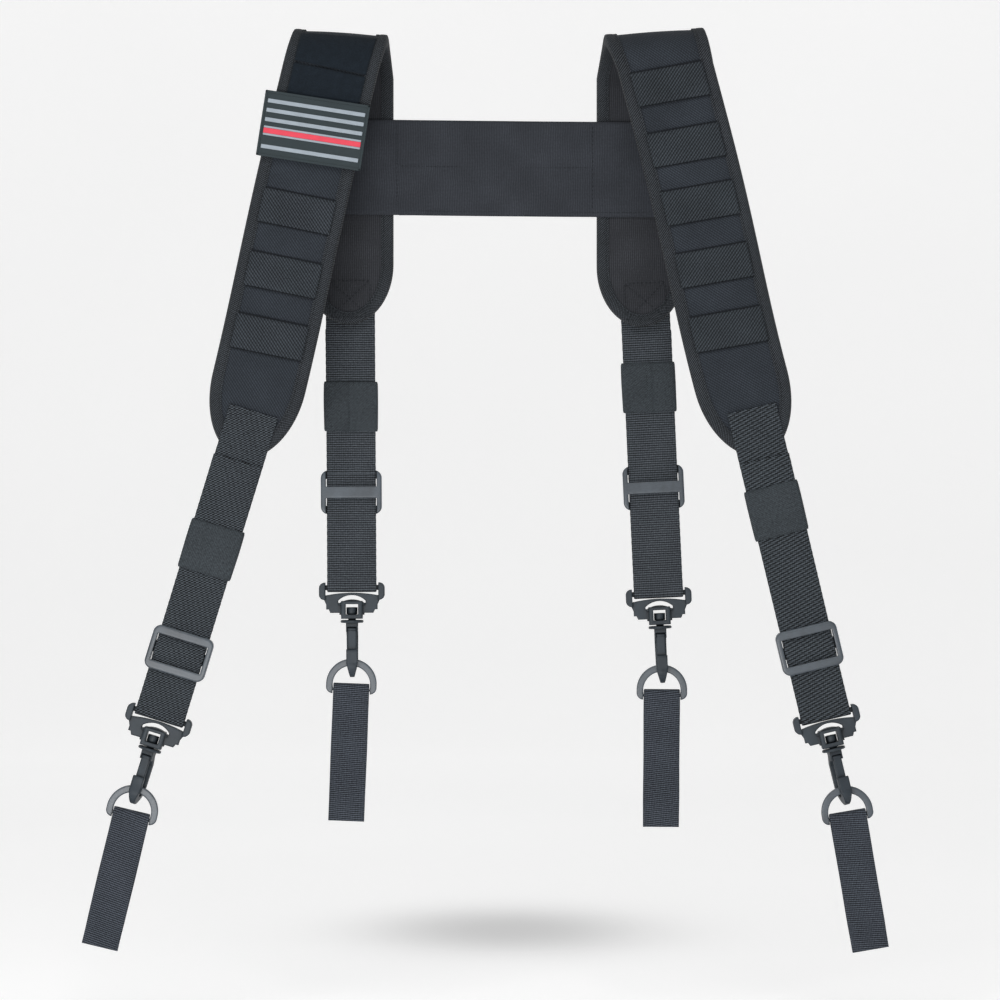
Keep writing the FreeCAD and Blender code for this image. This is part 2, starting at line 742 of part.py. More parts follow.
def d_ring():
    """A flat D with its straight bar at the bottom, and z = 0 in the middle of its top."""
    depth = "2 * ring_half_thickness"
    centre = "ring_top - ring_half_width"
    half = "ring_half_thickness"
    round_blank = out_rod("ring_round", "ring_half_width", depth, centre)
    upper = slab("ring_upper", "2 * ring_half_width", f"-{half}", half, centre, "ring_top")
    bow = common("ring_bow", round_blank, upper)
    legs_blank = slab("ring_legs", "2 * ring_half_width", f"-{half}", half, "-ring_bottom", centre)
    low = -size("ring_bottom")
    legs = fillet(
        "ring_corners", legs_blank, size("ring_corner"),
        lambda edge: runs_along(edge, OUT) and spans(edge, 2, low),
    )
    eye = "2 * ring_inner_radius"
    inner_centre = "-ring_top - ring_inner_radius"
    hole = out_rod("ring_hole", "ring_inner_radius", "20", inner_centre)
    bar_top = "-ring_bar_drop + ring_bar_half"
    window = slab("ring_window", eye, "-10", "10", bar_top, inner_centre)
    under = slab("ring_under", eye, "-10", "10", "-40", "-ring_bar_drop - ring_bar_half")
    ring = cut("ring_open", fuse("ring_solid", bow, legs), hole, window, under)
    return fillet(
        "ring_piece", ring, size("ring_bar_rounding"),
        lambda edge: runs_along(edge, ACROSS) and abs(edge.CenterOfMass.z + size("ring_bar_drop")) < 3,
    )


def belt_loop():
    """A closed loop of webbing, sewn together at the bottom, with z = 0 at the D-ring's bar."""
    outer = size("belt_bend_outer")
    inner = size("belt_bend_inner")
    thick = outer - inner
    bottom = -size("belt_loop_length")
    closing = bottom + size("belt_loop_closed")
    sewn = bottom + size("belt_loop_sewn")
    wires = [arc((-outer, 0), (0, outer), (outer, 0))]
    wires += lines([
        (outer, 0), (outer, closing), (thick, sewn), (thick, bottom), (-thick, bottom),
        (-thick, sewn), (-outer, closing), (-outer, 0),
    ])
    wires.append(arc((-inner, 0), (0, inner), (inner, 0)))
    wires += lines([(inner, 0), (inner, closing), (0, sewn), (-inner, closing), (-inner, 0)])
    return profile("belt_loop_piece", "YZ_Plane", wires, "belt_webbing_width")


def tab():
    """The end of the webbing that is sewn down on the pad."""
    far = "main_layer + webbing_thickness"
    return slab("tab_piece", "webbing_width", "main_layer", far, "0.2", "tab_length")


# ---------------------------------------------------------------- corners


def facing(corner):
    """Outwards is -Y on the front straps and +Y on the rear ones."""
    return -1 if corner.endswith("front") else 1


def corner_frame(corner, tilt):
    """A frame at the pad's tip, on the pad's outer face, tilted in the strap's own plane."""
    way = facing(corner)
    out = way * (size("arch_radius") + size("pad_half_thickness"))
    turn = Rotation(UP, 180) if way < 0 else Rotation()
    base = Vector(size(corner + "_tip_across"), out, size(corner + "_tip_height"))
    return Placement(base, Rotation(OUT, tilt).multiply(turn))


def moved(frame, out=0.0, height=0.0, turn=0.0):
    """A frame moved outwards and along the strap, and turned about the strap."""
    return frame.multiply(Placement(Vector(0, out, height), Rotation(UP, turn)))


def webbing_runs(corner, frame):
    """The main run and the tail, which differ a little in length from corner to corner."""
    low = f"-{corner}_bar + bight_length"
    main_far = "main_layer + webbing_thickness"
    tail_far = "tail_layer + webbing_thickness"
    width = "webbing_width"
    main = slab(corner + "_main_run", width, "main_layer", main_far, low, "0")
    tail = slab(corner + "_tail_run", width, "tail_layer", tail_far, low, "-tail_start")
    add_node(corner + "_strap_webbing", main, frame)
    add_node(corner + "_strap_tail", tail, frame)


def strap(corner, pieces):
    """Every piece of one strap, from the tab on the pad to the belt loop."""
    frame = corner_frame(corner, size(corner + "_tilt"))
    at_bar = moved(frame, height=-size(corner + "_bar"))
    on_bar = moved(at_bar, out=size("bar_depth"))
    hook = moved(on_bar, turn=size(corner + "_hook_turn"))
    ring_centre = moved(on_bar, height=-size("ring_drop"))
    hanging = corner_frame(corner, size(corner + "_loop_tilt"))
    ring = Placement(ring_centre.Base, hanging.Rotation)
    webbing_runs(corner, frame)
    add_node(corner + "_tab", pieces["tab"], frame)
    add_node(corner + "_keeper", pieces["keeper"], moved(frame, height=-size(corner + "_keeper")))
    add_node(corner + "_tri_glide", pieces["glide"], moved(frame, height=-size(corner + "_glide")))
    add_node(corner + "_webbing_bight", pieces["bight"], at_bar)
    add_node(corner + "_hook_base", pieces["base"], on_bar)
    add_node(corner + "_swivel_hook", pieces["hook"], hook)
    add_node(corner + "_gate", pieces["gate"], hook)
    add_node(corner + "_d_ring", pieces["ring"], ring)
    add_node(corner + "_belt_loop", pieces["loop"], moved(ring, height=-size("ring_bar_drop")))


def strap_pieces():
    return {
        "tab": tab(),
        "keeper": keeper(),
        "glide": tri_glide(),
        "bight": webbing_bight(),
        "base": hook_base(),
        "hook": swivel_hook(),
        "gate": gate(),
        "ring": d_ring(),
        "loop": belt_loop(),
    }


# ---------------------------------------------------------------- build, check and write


def check_document():
    """Stop if any feature failed, or any node is empty, invalid or has no solid."""
    for piece in doc.Objects:
        if {"Invalid", "Error"} & set(piece.State):
            raise RuntimeError(f"{piece.Name} failed: {piece.State}")
    for piece in nodes:
        shape = piece.Shape
        if shape.isNull() or not shape.isValid() or not shape.Solids:
            raise RuntimeError(f"{piece.Label} has no valid solid")


def write_nodes():
    for piece in nodes:
        piece.Shape.exportStep(f"parts/{piece.Label}.step")
        solids = len(piece.Shape.Solids)
        print(f"{piece.Label}: {solids} solids, {piece.Shape.Volume:.0f} mm3")


fill_sheet()
right_pad, left_pad = [shoulder_pad(side) for side in SIDES]
pad_trim(right_pad, left_pad)
yoke()
patch()
shared_pieces = strap_pieces()
for corner_name in CORNERS:
    strap(corner_name, shared_pieces)
doc.recompute()
check_document()
write_nodes()
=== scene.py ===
import json
import math

import bpy
import numpy as np
from mathutils import Matrix, Vector


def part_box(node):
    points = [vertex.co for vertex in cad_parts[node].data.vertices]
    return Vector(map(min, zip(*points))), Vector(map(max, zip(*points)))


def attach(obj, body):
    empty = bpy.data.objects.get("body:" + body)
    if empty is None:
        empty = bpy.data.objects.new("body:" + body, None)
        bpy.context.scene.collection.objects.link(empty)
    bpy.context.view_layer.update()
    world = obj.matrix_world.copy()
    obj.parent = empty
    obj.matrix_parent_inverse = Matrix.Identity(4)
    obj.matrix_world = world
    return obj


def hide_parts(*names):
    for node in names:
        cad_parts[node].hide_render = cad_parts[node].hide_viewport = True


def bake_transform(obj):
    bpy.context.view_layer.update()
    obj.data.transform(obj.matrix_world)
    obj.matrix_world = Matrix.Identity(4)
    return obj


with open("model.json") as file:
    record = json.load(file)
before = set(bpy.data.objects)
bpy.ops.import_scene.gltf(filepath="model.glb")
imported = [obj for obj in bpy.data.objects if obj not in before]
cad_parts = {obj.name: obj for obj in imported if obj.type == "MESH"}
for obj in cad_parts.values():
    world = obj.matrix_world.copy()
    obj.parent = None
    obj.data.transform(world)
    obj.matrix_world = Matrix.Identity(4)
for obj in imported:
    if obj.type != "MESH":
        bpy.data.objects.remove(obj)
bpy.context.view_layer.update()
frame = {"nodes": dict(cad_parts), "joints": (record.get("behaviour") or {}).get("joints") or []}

# Padded H-back suspenders. Metres, in the CAD model's frame: left_ is +X, the front straps are at -Y.
# A pad is made flat first, with s along it from the front tip over the shoulder to the rear tip,
# v across it and w outwards from its middle surface, and is then folded over the shoulder.
# A strap is made in its own frame: x across, y outwards from the pad's face, z up from the pad's tip.

MM = 0.001
CORNERS = ["right_front", "left_front", "right_rear", "left_rear"]
JOINTS = {joint["name"]: joint for joint in frame["joints"]}

# pads
ARCH_RADIUS = 26 * MM
PAD_HALF = 4 * MM
FRONT_HALF_WIDTH = 35.5 * MM
REAR_HALF_WIDTH = 34 * MM
FRONT_END = 58 * MM
REAR_END = 46 * MM
# the padded body's two faces before they swell, as shares of the pad's half thickness
OUTSIDE_SHARE = 0.86
LINING_SHARE = 0.9
MOST_SWELLING = 1.1 * MM
UNDER_ROWS = 3.75 * MM
# binding: its width on each face, how far it goes round the edge, and its stitches
BINDING_WIDTH = 9 * MM
BINDING_OVER = 0.5 * MM
BINDING_STITCH = 7.2 * MM
PUCKER_PITCH = 3.2 * MM
# the fold over each shoulder: its crown, half width and lean, the rear leg's place and the front leg's sway
FOLDS = {
    "right": {
        "across": -117.5 * MM, "height": 9.0 * MM, "half": 36.3 * MM, "tilt": 3.8,
        "rear": -112.8 * MM, "bow": 1.2 * MM,
    },
    "left": {
        "across": 121.4 * MM, "height": 9.6 * MM, "half": 38.6 * MM, "tilt": -4.0,
        "rear": 112.8 * MM, "bow": -2.2 * MM,
    },
}
# rows of webbing and tapes on the front pads, in distances down from the crown
ROWS = {
    "left": [(31.7, 57.4), (79.2, 105.0), (124.4, 150.4), (172.6, 198.8), (222.0, 248.8)],
    "right": [(129.6, 155.4), (178.6, 204.8), (226.8, 253.0)],
}
TAPES = [(4.0, 31.0), (32.5, 75.0)]
BAND_HEIGHT = 3.95 * MM
# heights of the dark strips that paint the shadow along each row's edges
SEAM_SHADOW_HEIGHTS = (4.75 * MM, 4.1 * MM)
BAND_TUCK = 1.2 * MM
ROW_SLOPE = {"left": 10.1, "right": -11.5}
LEAN_FADE = 30 * MM
# seams of the yoke
SEAM_ACROSS = [-75.5 * MM, 75.0 * MM]
SEAM_HEIGHT = -93 * MM
# patch, with the bars' distances down from its top edge and their heights
PATCH_TILT = 8.8
PATCH_WIDTH = 80 * MM
PATCH_TALL = 50 * MM
PATCH_THICK = 1.5 * MM
PATCH_BORDER = 2.8 * MM
PALE_BARS = [(drop * MM, tall * MM) for drop, tall in [
    (7.7, 3.0), (14.85, 3.0), (22.0, 3.0), (27.6, 1.5), (33.2, 1.5), (42.5, 3.0),
]]
RED_BAR = (30.4 * MM, 4 * MM)
# straps, with heights measured from the pad's tip
WEBBING = 38 * MM
THICK = 1.4 * MM
MAIN_LAYER = 1.4 * MM
TAIL_LAYER = 3.0 * MM
LAYER_TO_FACE = 1.4 * MM
KEEPER_LENGTH = 38.4 * MM
GLIDE_HALF = 17 * MM
GLIDE_WINDOW = 10.4 * MM
BIGHT_LENGTH = 12 * MM
BAR_DEPTH = 2.2 * MM
BEND_RADIUS = 2.9 * MM
TAB_TOP = 36 * MM
BEND_TOP = 1 * MM
BEND_BOTTOM = -7 * MM
SELVAGE = 0.9 * MM
FLAT_WAVE = 0.05 * MM
BENT_WAVE = 0.04 * MM
BENT_STEP = 1.2 * MM
TAIL_END = -3 * MM
TAIL_DRIFT = 0.5 * MM
HEM_LIFT = 0.1 * MM
HEM_STITCH = 8 * MM
TAB_THREAD = 1.85 * MM
LINING_THREAD = -9.1 * MM
BELT_WEBBING = 27.8 * MM
BELT_BEND = 3.3 * MM
BELT_THICK = 1.3 * MM
BELT_LENGTH = 102.6 * MM


# ---------------------------------------------------------------- materials

SHADOW_PLACE = (0.009, 0.62)
SHADOW_SIZE = (0.125, 0.19)
SHADOW_DEPTH = 0.77
PAPER_GLOW = 0.29
CLOTH_SHEEN = 0.03
CLOTH_SPECULAR = 0.15


class Value:
    """A number that varies over a surface. Arithmetic on it adds Math nodes."""

    def __init__(self, tree, socket):
        self.tree = tree
        self.socket = socket

    def math(self, operation, *others):
        node = self.tree.nodes.new("ShaderNodeMath")
        node.operation = operation
        self.tree.links.new(self.socket, node.inputs[0])
        for number, other in enumerate(others, start=1):
            if isinstance(other, Value):
                self.tree.links.new(other.socket, node.inputs[number])
            else:
                node.inputs[number].default_value = other
        return Value(self.tree, node.outputs[0])

    def __add__(self, other):
        return self.math("ADD", other)

    def __sub__(self, other):
        return self.math("SUBTRACT", other)

    def __mul__(self, other):
        return self.math("MULTIPLY", other)

    def sin(self):
        return self.math("SINE")

    def power(self, exponent):
        return self.math("POWER", exponent)

    def above(self, level):
        return self.math("GREATER_THAN", level)

    def clamp(self):
        bounded = self.math("ADD", 0.0)
        bounded.socket.node.use_clamp = True
        return bounded


class Finish:
    """A material with a Principled shader, and helpers for its detail."""

    def __init__(self, name, roughness, sheen=0.0, specular=0.5):
        self.material = bpy.data.materials.new(name)
        self.material.use_nodes = True
        self.tree = self.material.node_tree
        self.shader = self.tree.nodes["Principled BSDF"]
        self.shader.inputs["Roughness"].default_value = roughness
        self.shader.inputs["Sheen Weight"].default_value = sheen
        self.shader.inputs["Sheen Roughness"].default_value = 0.45
        self.shader.inputs["Specular IOR Level"].default_value = specular

    def coordinates(self, output="UV"):
        """The x, y and z of a texture coordinate, in metres."""
        source = self.tree.nodes.new("ShaderNodeTexCoord")
        split = self.tree.nodes.new("ShaderNodeSeparateXYZ")
        self.tree.links.new(source.outputs[output], split.inputs[0])
        self.place = source.outputs[output]
        return [Value(self.tree, split.outputs[n]) for n in range(3)]

    def noise(self, scale, detail=2.0, stretch=(1, 1, 1)):
        """Noise from 0 to 1 at the last coordinates, with features about 1 / scale metres wide."""
        mapping = self.tree.nodes.new("ShaderNodeMapping")
        mapping.inputs["Scale"].default_value = stretch
        self.tree.links.new(self.place, mapping.inputs["Vector"])
        texture = self.tree.nodes.new("ShaderNodeTexNoise")
        texture.inputs["Scale"].default_value = scale
        texture.inputs["Detail"].default_value = detail
        self.tree.links.new(mapping.outputs[0], texture.inputs["Vector"])
        return Value(self.tree, texture.outputs["Fac"])

    def ramp(self, value, *colours):
        """Colours spread evenly from value 0 to value 1."""
        ramp = self.tree.nodes.new("ShaderNodeValToRGB")
        stops = ramp.color_ramp.elements
        while len(stops) < len(colours):
            stops.new(0.5)
        for number, colour in enumerate(colours):
            stops[number].position = number / (len(colours) - 1)
            stops[number].color = (*colour, 1)
        self.tree.links.new(value.socket, ramp.inputs[0])
        return ramp.outputs[0]

    def colour(self, value, *colours):
        self.tree.links.new(self.ramp(value, *colours), self.shader.inputs["Base Color"])

    def rough(self, value, low, high):
        self.tree.links.new((value * (high - low) + low).socket, self.shader.inputs["Roughness"])

    def bump(self, height, depth, strength=1.0):
        """Bump whose height of 1 stands depth metres proud."""
        bump = self.tree.nodes.new("ShaderNodeBump")
        bump.inputs["Strength"].default_value = strength
        bump.inputs["Distance"].default_value = depth
        self.tree.links.new(height.socket, bump.inputs["Height"])
        self.tree.links.new(bump.outputs[0], self.shader.inputs["Normal"])
        return bump


def wave(place, pitch):
    """A wave from 0 to 1 that repeats every pitch metres."""
    return (place * (2 * math.pi / pitch)).sin() * 0.5 + 0.5


def scaled(colour, factor):
    return tuple(channel * factor for channel in colour)


def cloth_tone_with_painted_relief(finish, colour, height, contrast):
    """Colour with painted shade in the weave's gaps and a painted highlight on its raised yarns, plus slubs
    and faint cloudy patches of tone.
    """
    slubs = finish.noise(650, 3) - 0.5
    cloudy = finish.noise(30, 3) - 0.5
    shade = ((height - 0.5) * contrast + slubs * (0.7 * contrast) + cloudy * 0.3 + 0.45).clamp()
    # the ramp paints the gaps dark as shade and the raised yarns pale as highlight
    finish.colour(shade, scaled(colour, 0.12), scaled(colour, 0.75), scaled(colour, 2.1))


def woven(name, colour, pitch, slant, contrast=0.5, depth=0.25 * MM, upright=False, loose=0.4):
    """Cloth with ribs of yarn: slant 0 gives ribs across the piece, 1 gives twill at 45 degrees.

    The yarns wander by a share of the pitch, which loose sets."""
    finish = Finish(name, 0.75, CLOTH_SHEEN, CLOTH_SPECULAR)
    u, v, _ = finish.coordinates()
    if upright:
        u, v = v, u
    wander = (finish.noise(60, 2) - 0.5) * (loose * pitch)
    ribs = wave(v + u * slant + wander, pitch)
    yarns = wave(u - v * (slant * 0.5), pitch * 0.8)
    fibre = finish.noise(2200, 2)
    height = ribs * 0.75 + yarns * 0.25
    cloth_tone_with_painted_relief(finish, colour, height, contrast)
    finish.rough(fibre, 0.7, 0.9)
    finish.bump(height + fibre * 0.25, depth, 0.8)
    return finish.material


def broken_twill(name, colour, pitch, slant, dash, contrast=1.0, depth=0.3 * MM):
    """Webbing whose slanting ribs are broken into dashes by the yarns that cross them."""
    finish = Finish(name, 0.72, CLOTH_SHEEN, CLOTH_SPECULAR)
    u, v, _ = finish.coordinates()
    wander = (finish.noise(70, 2) - 0.5) * (0.4 * pitch)
    dashes = wave(u + v * 0.5 + wander, dash)
    staggered = dashes.above(0.5) * (pitch / 2)
    ribs = wave(v + u * slant + wander + staggered, pitch)
    fibre = finish.noise(2400, 2)
    height = ribs * 0.85 + dashes * 0.15
    cloth_tone_with_painted_relief(finish, colour, height, contrast)
    finish.rough(fibre, 0.65, 0.88)
    finish.bump(height + fibre * 0.25, depth, 0.9)
    return finish.material


def pile(name, colour):
    """The short fuzzy loops of hook-and-loop tape, with painted shade among the loops and a painted
    highlight on the tufts.
    """
    finish = Finish(name, 0.95, CLOTH_SHEEN, CLOTH_SPECULAR)
    finish.coordinates()
    loops = finish.noise(900, 4)
    tufts = finish.noise(220, 3)
    height = loops * 0.8 + tufts * 0.5
    # colour follows the pile's height: painted shade low down and painted highlight on the tufts
    finish.colour((height * 0.8).clamp(), scaled(colour, 0.4), colour, scaled(colour, 1.9))
    finish.bump(height, 0.9 * MM, 0.9)
    return finish.material


def plastic(name, colour, rough=0.34, specular=0.5):
    """Moulded acetal: fine grain and faint flow marks, with painted shade in recesses and on rounded edges,
    which are also made less specular.
    """
    finish = Finish(name, rough, 0.0, specular)
    finish.coordinates("Object")
    grain = finish.noise(2600, 3)
    flow = finish.noise(70, 4, (1, 1, 0.4))
    scuffs = finish.noise(420, 5, (1, 1, 6))
    edges = turned_away(finish, 0.6 * MM)
    open_air = recess(finish, 3 * MM)
    # flow and scuffs are the acetal's own tone; open_air and edges paint shade into recesses and onto
    # rounded edges
    shade = ((flow - 0.5) * 0.6 + (scuffs - 0.5) * 0.3 + open_air * 0.6 - edges * 0.5).clamp()
    finish.colour(shade, scaled(colour, 0.15), colour, scaled(colour, 2.4))
    finish.rough((flow * 0.5 + scuffs * 0.5).clamp(), rough - 0.06, rough + 0.16)
    # the edges are also made less specular, so they read as shaded
    shine = (edges * -0.8 + 1.0) * specular
    finish.tree.links.new(shine.socket, finish.shader.inputs["Specular IOR Level"])
    bump = finish.bump(grain * 0.6 + flow * 0.4, 0.06 * MM, 0.5)
    finish.tree.links.new(rounded_normal(finish, 2.0 * MM, 8), bump.inputs["Normal"])
    return finish.material


def recess(finish, reach):
    """1 on open faces, falling towards 0 in corners and slots narrower than reach. It is ambient occlusion,
    used to paint shade.
    """
    shadow = finish.tree.nodes.new("ShaderNodeAmbientOcclusion")
    shadow.inputs["Distance"].default_value = reach
    shadow.samples = 4
    return Value(finish.tree, shadow.outputs["AO"])


def rounded_normal(finish, radius, samples):
    """The surface's normal as it would be with its edges rounded to radius."""
    rounded = finish.tree.nodes.new("ShaderNodeBevel")
    rounded.inputs["Radius"].default_value = radius
    rounded.samples = samples
    return rounded.outputs[0]


def turned_away(finish, radius):
    """How far the rounded normal turns from the true one: 0 on faces, near 1 at edges."""
    true = finish.tree.nodes.new("ShaderNodeNewGeometry")
    dot = finish.tree.nodes.new("ShaderNodeVectorMath")
    dot.operation = "DOT_PRODUCT"
    finish.tree.links.new(rounded_normal(finish, radius, 4), dot.inputs[0])
    finish.tree.links.new(true.outputs["Normal"], dot.inputs[1])
    flat = Value(finish.tree, dot.outputs["Value"])
    return ((flat * -1.0 + 1.0) * 3.0).clamp()


def rubber(name, colour, rough=0.5):
    """Soft moulded rubber with a matt, faintly mottled skin."""
    finish = Finish(name, rough, 0.0, 0.3)
    finish.coordinates("Object")
    grain = finish.noise(1800, 3)
    mottle = finish.noise(120, 3)
    finish.colour((mottle * 0.7 + grain * 0.3).clamp(), scaled(colour, 0.8), colour, scaled(colour, 1.25))
    finish.rough(mottle, rough - 0.08, rough + 0.15)
    finish.bump(grain, 0.08 * MM, 0.5)
    return finish.material


def thread(name, colour):
    finish = Finish(name, 0.6, CLOTH_SHEEN, CLOTH_SPECULAR)
    u, v, _ = finish.coordinates("Object")
    twist = wave(u + v, 0.35 * MM)
    # colour follows the twist: painted shade in its hollows and painted highlight on its ridges
    finish.colour(twist, scaled(colour, 0.7), scaled(colour, 1.2))
    finish.bump(twist, 0.05 * MM, 0.6)
    return finish.material


def seamless(name):
    """The studio's paper. It glows faintly, and the soft shadow below the object is painted on it."""
    finish = Finish(name, 0.95, 0.0, 0.1)
    x, y, _ = finish.coordinates("Object")
    mottle = finish.noise(1.2, 2)
    aside = (x - SHADOW_PLACE[0]) * (1 / SHADOW_SIZE[0])
    behind = (y - SHADOW_PLACE[1]) * (1 / SHADOW_SIZE[1])
    away = (aside * aside + behind * behind).power(1.2)
    shadow = (away * -1.0).math("EXPONENT") * -SHADOW_DEPTH
    finish.colour((mottle * 0.1 + 0.9 + shadow).clamp(), (0.3, 0.3, 0.3), (0.9, 0.9, 0.9))
    glow = finish.shader.inputs
    glow["Emission Color"].default_value = (1, 1, 1, 1)
    glow["Emission Strength"].default_value = PAPER_GLOW
    finish.bump(finish.noise(300, 2), 0.05 * MM, 0.2)
    return finish.material


COVER = woven("cover_cloth", (0.028, 0.034, 0.043), 2.5 * MM, 1.0, 0.4, 0.1 * MM)
LINING = woven("lining_cloth", (0.034, 0.036, 0.042), 1.5 * MM, 0.0, 0.35, 0.08 * MM, True, 1.6)
ROW = {
    "left": woven("row_webbing_left", (0.028, 0.034, 0.04), 2.7 * MM, -1.0, 0.7, 0.25 * MM),
    "right": woven("row_webbing_right", (0.03, 0.036, 0.043), 2.7 * MM, 1.0, 0.7, 0.25 * MM),
}
BINDING = woven("binding_tape", (0.029, 0.033, 0.038), 1.8 * MM, 0.9, 0.9, 0.25 * MM)
STRAP_OUTER = {
    "left": broken_twill("webbing_left", (0.032, 0.038, 0.044), 2.0 * MM, 0.24, 4.2 * MM, 1.3),
    "right": broken_twill("webbing_right", (0.032, 0.038, 0.044), 2.0 * MM, -0.33, 4.2 * MM, 1.3),
}
STRAP_INNER = woven("webbing_rear", (0.045, 0.052, 0.06), 1.75 * MM, 0.0, 0.9, 0.35 * MM)
SLEEVE = woven("keeper_cloth", (0.036, 0.043, 0.049), 1.2 * MM, 1.0, 1.2, 0.1 * MM)
LOOPS = woven("belt_loop_webbing", (0.042, 0.049, 0.061), 1.6 * MM, 0.12, 0.95, 0.22 * MM)
YOKE = woven("yoke_cloth", (0.037, 0.041, 0.05), 1.3 * MM, 0.0, 0.3, 0.05 * MM, True, 1.8)
TAPE = pile("loop_tape", (0.008, 0.012, 0.017))
PLASTIC = plastic("acetal", (0.036, 0.045, 0.055), 0.27)
# the same acetal painted darker, as painted shade, for the hook, its base and its gate
PLASTIC_PAINTED_DARKER = plastic("acetal_painted_darker", (0.018, 0.024, 0.03), 0.42, 0.28)
PATCH_DARK = rubber("patch_dark", (0.016, 0.026, 0.03))
PATCH_PALE = rubber("patch_pale", (0.27, 0.31, 0.35))
PATCH_RED = rubber("patch_red", (0.62, 0.05, 0.08))
THREAD = thread("thread", (0.014, 0.017, 0.02))
# near-black strips that paint the shadow along the rows' edges
SEAM_SHADOW_PAINT = thread("painted_seam_shadow", (0.006, 0.008, 0.011))
PAPER = seamless("paper")


# ---------------------------------------------------------------- mesh helpers


def mesh_object(name, points, faces, uvs=None, material=None):
    mesh = bpy.data.meshes.new(name)
    mesh.from_pydata([tuple(point) for point in points], [], faces)
    if uvs is not None:
        layer = mesh.uv_layers.new(name="cloth")
        corners = np.zeros(len(mesh.loops), np.int32)
        mesh.loops.foreach_get("vertex_index", corners)
        layer.data.foreach_set("uv", np.asarray(uvs, np.float32)[corners].ravel())
    mesh.polygons.foreach_set("use_smooth", [True] * len(mesh.polygons))
    if material:
        mesh.materials.append(material)
    piece = bpy.data.objects.new(name, mesh)
    bpy.context.scene.collection.objects.link(piece)
    return piece


def grid_faces(rows, columns, round_rows=False, round_columns=False):
    """Quads of a grid of points stored row by row."""
    faces = []
    for row in range(rows if round_rows else rows - 1):
        above = (row + 1) % rows
        for column in range(columns if round_columns else columns - 1):
            beside = (column + 1) % columns
            faces.append((
                row * columns + column,
                row * columns + beside,
                above * columns + beside,
                above * columns + column,
            ))
    return faces


def shell_faces(rows, columns):
    """Faces of a closed shell whose points are a grid and then a second grid under it."""
    count = rows * columns
    over = grid_faces(rows, columns)
    under = [tuple(index + count for index in face[::-1]) for face in over]
    rim = rim_loop(rows, columns)
    sides = [(b, a, a + count, b + count) for a, b in zip(rim, rim[1:] + rim[:1])]
    return over + under + sides


def shell(name, rows, columns, layers, place, material):
    """A closed shell of two layers, where place(layer, row, column) gives a point and its (u, v)."""
    found = [place(layer, row, column) for layer in layers for row in rows for column in columns]
    points, uvs = zip(*found)
    return mesh_object(name, points, shell_faces(len(rows), len(columns)), uvs, material)


def rim_loop(rows, columns):
    """The grid's boundary points in order."""
    first = list(range(columns))
    right = [row * columns + columns - 1 for row in range(1, rows)]
    last = [(rows - 1) * columns + column for column in range(columns - 2, -1, -1)]
    left = [row * columns for row in range(rows - 2, 0, -1)]
    return first + right + last + left


def lengths_along(points):
    """How far each point of a polyline is from its start."""
    return np.concatenate([[0], np.cumsum(np.linalg.norm(np.diff(points, axis=0), axis=1))])


def headings(path):
    """The unit direction of travel at each point of a path."""
    ahead = np.gradient(path, axis=0)
    return ahead / np.linalg.norm(ahead, axis=1)[:, None]


def resampled(points, step):
    """Points along a polyline, about step apart, that keep its ends."""
    points = np.asarray(points, float)
    along = lengths_along(points)
    count = max(2, round(along[-1] / step) + 1)
    wanted = np.linspace(0, along[-1], count)
    return np.stack([np.interp(wanted, along, points[:, n]) for n in range(points.shape[1])], axis=1)


def arc_points(centre, radius, start, end, count=10):
    """Points of an arc, angles in degrees."""
    angles = np.radians(np.linspace(start, end, count))
    return [(centre[0] + radius * math.cos(a), centre[1] + radius * math.sin(a)) for a in angles]


def frame_at(across, out, up, origin):
    """The matrix that takes local (across, out, up) places to the world."""
    return Matrix((
        (across.x, out.x, up.x, origin.x),
        (across.y, out.y, up.y, origin.y),
        (across.z, out.z, up.z, origin.z),
        (0, 0, 0, 1),
    ))


def to_world(points, place):
    """Local points through a 4 x 4 matrix."""
    matrix = np.array(place)
    return np.asarray(points) @ matrix[:3, :3].T + matrix[:3, 3]


def ribbon(name, place, path, width, thick, material, wavy, step=2.0 * MM, drift=0.0):
    """Webbing along a path of (y, z) points in a strap's frame, with rounded selvages.

    It isn't quite flat, by wavy metres. Its far end lies drift metres to one side."""
    path = resampled(path, step)
    ahead = headings(path)
    normal = np.stack([ahead[:, 1], -ahead[:, 0]], axis=1)
    along = lengths_along(path)
    half = width / 2
    middle = np.linspace(-half + SELVAGE, half - SELVAGE, 11)
    across = np.concatenate([[-half, -half + SELVAGE * 0.4], middle, [half - SELVAGE * 0.4, half]])
    fat = np.concatenate([[0.25, 0.8], np.ones(11), [0.8, 0.25]]) * thick / 2
    ring_x = np.concatenate([across, across[::-1]])
    ring_n = np.concatenate([fat, -fat[::-1]])
    points, uvs = [], []
    for (y, z), (ny, nz), s in zip(path, normal, along):
        upwards = -1 if ny > 0 else 1
        wave_out = wavy * (math.sin(s * 171 + 1.3) + 0.6 * math.sin(s * 97 + 0.4))
        fray = 0.08 * MM * math.sin(s * 4100)
        aside = drift * s / along[-1]
        for x, n in zip(ring_x, ring_n):
            off = n + wave_out * (0.4 + 0.6 * math.sin(x * 90 + s * 40))
            frayed = x + fray * (abs(x) > half - SELVAGE)
            points.append((frayed + aside, y + ny * off, z + nz * off))
            uvs.append((x * upwards, s))
    faces = grid_faces(len(path), len(ring_x), round_columns=True)
    return mesh_object(name, to_world(points, place), faces, uvs, material)


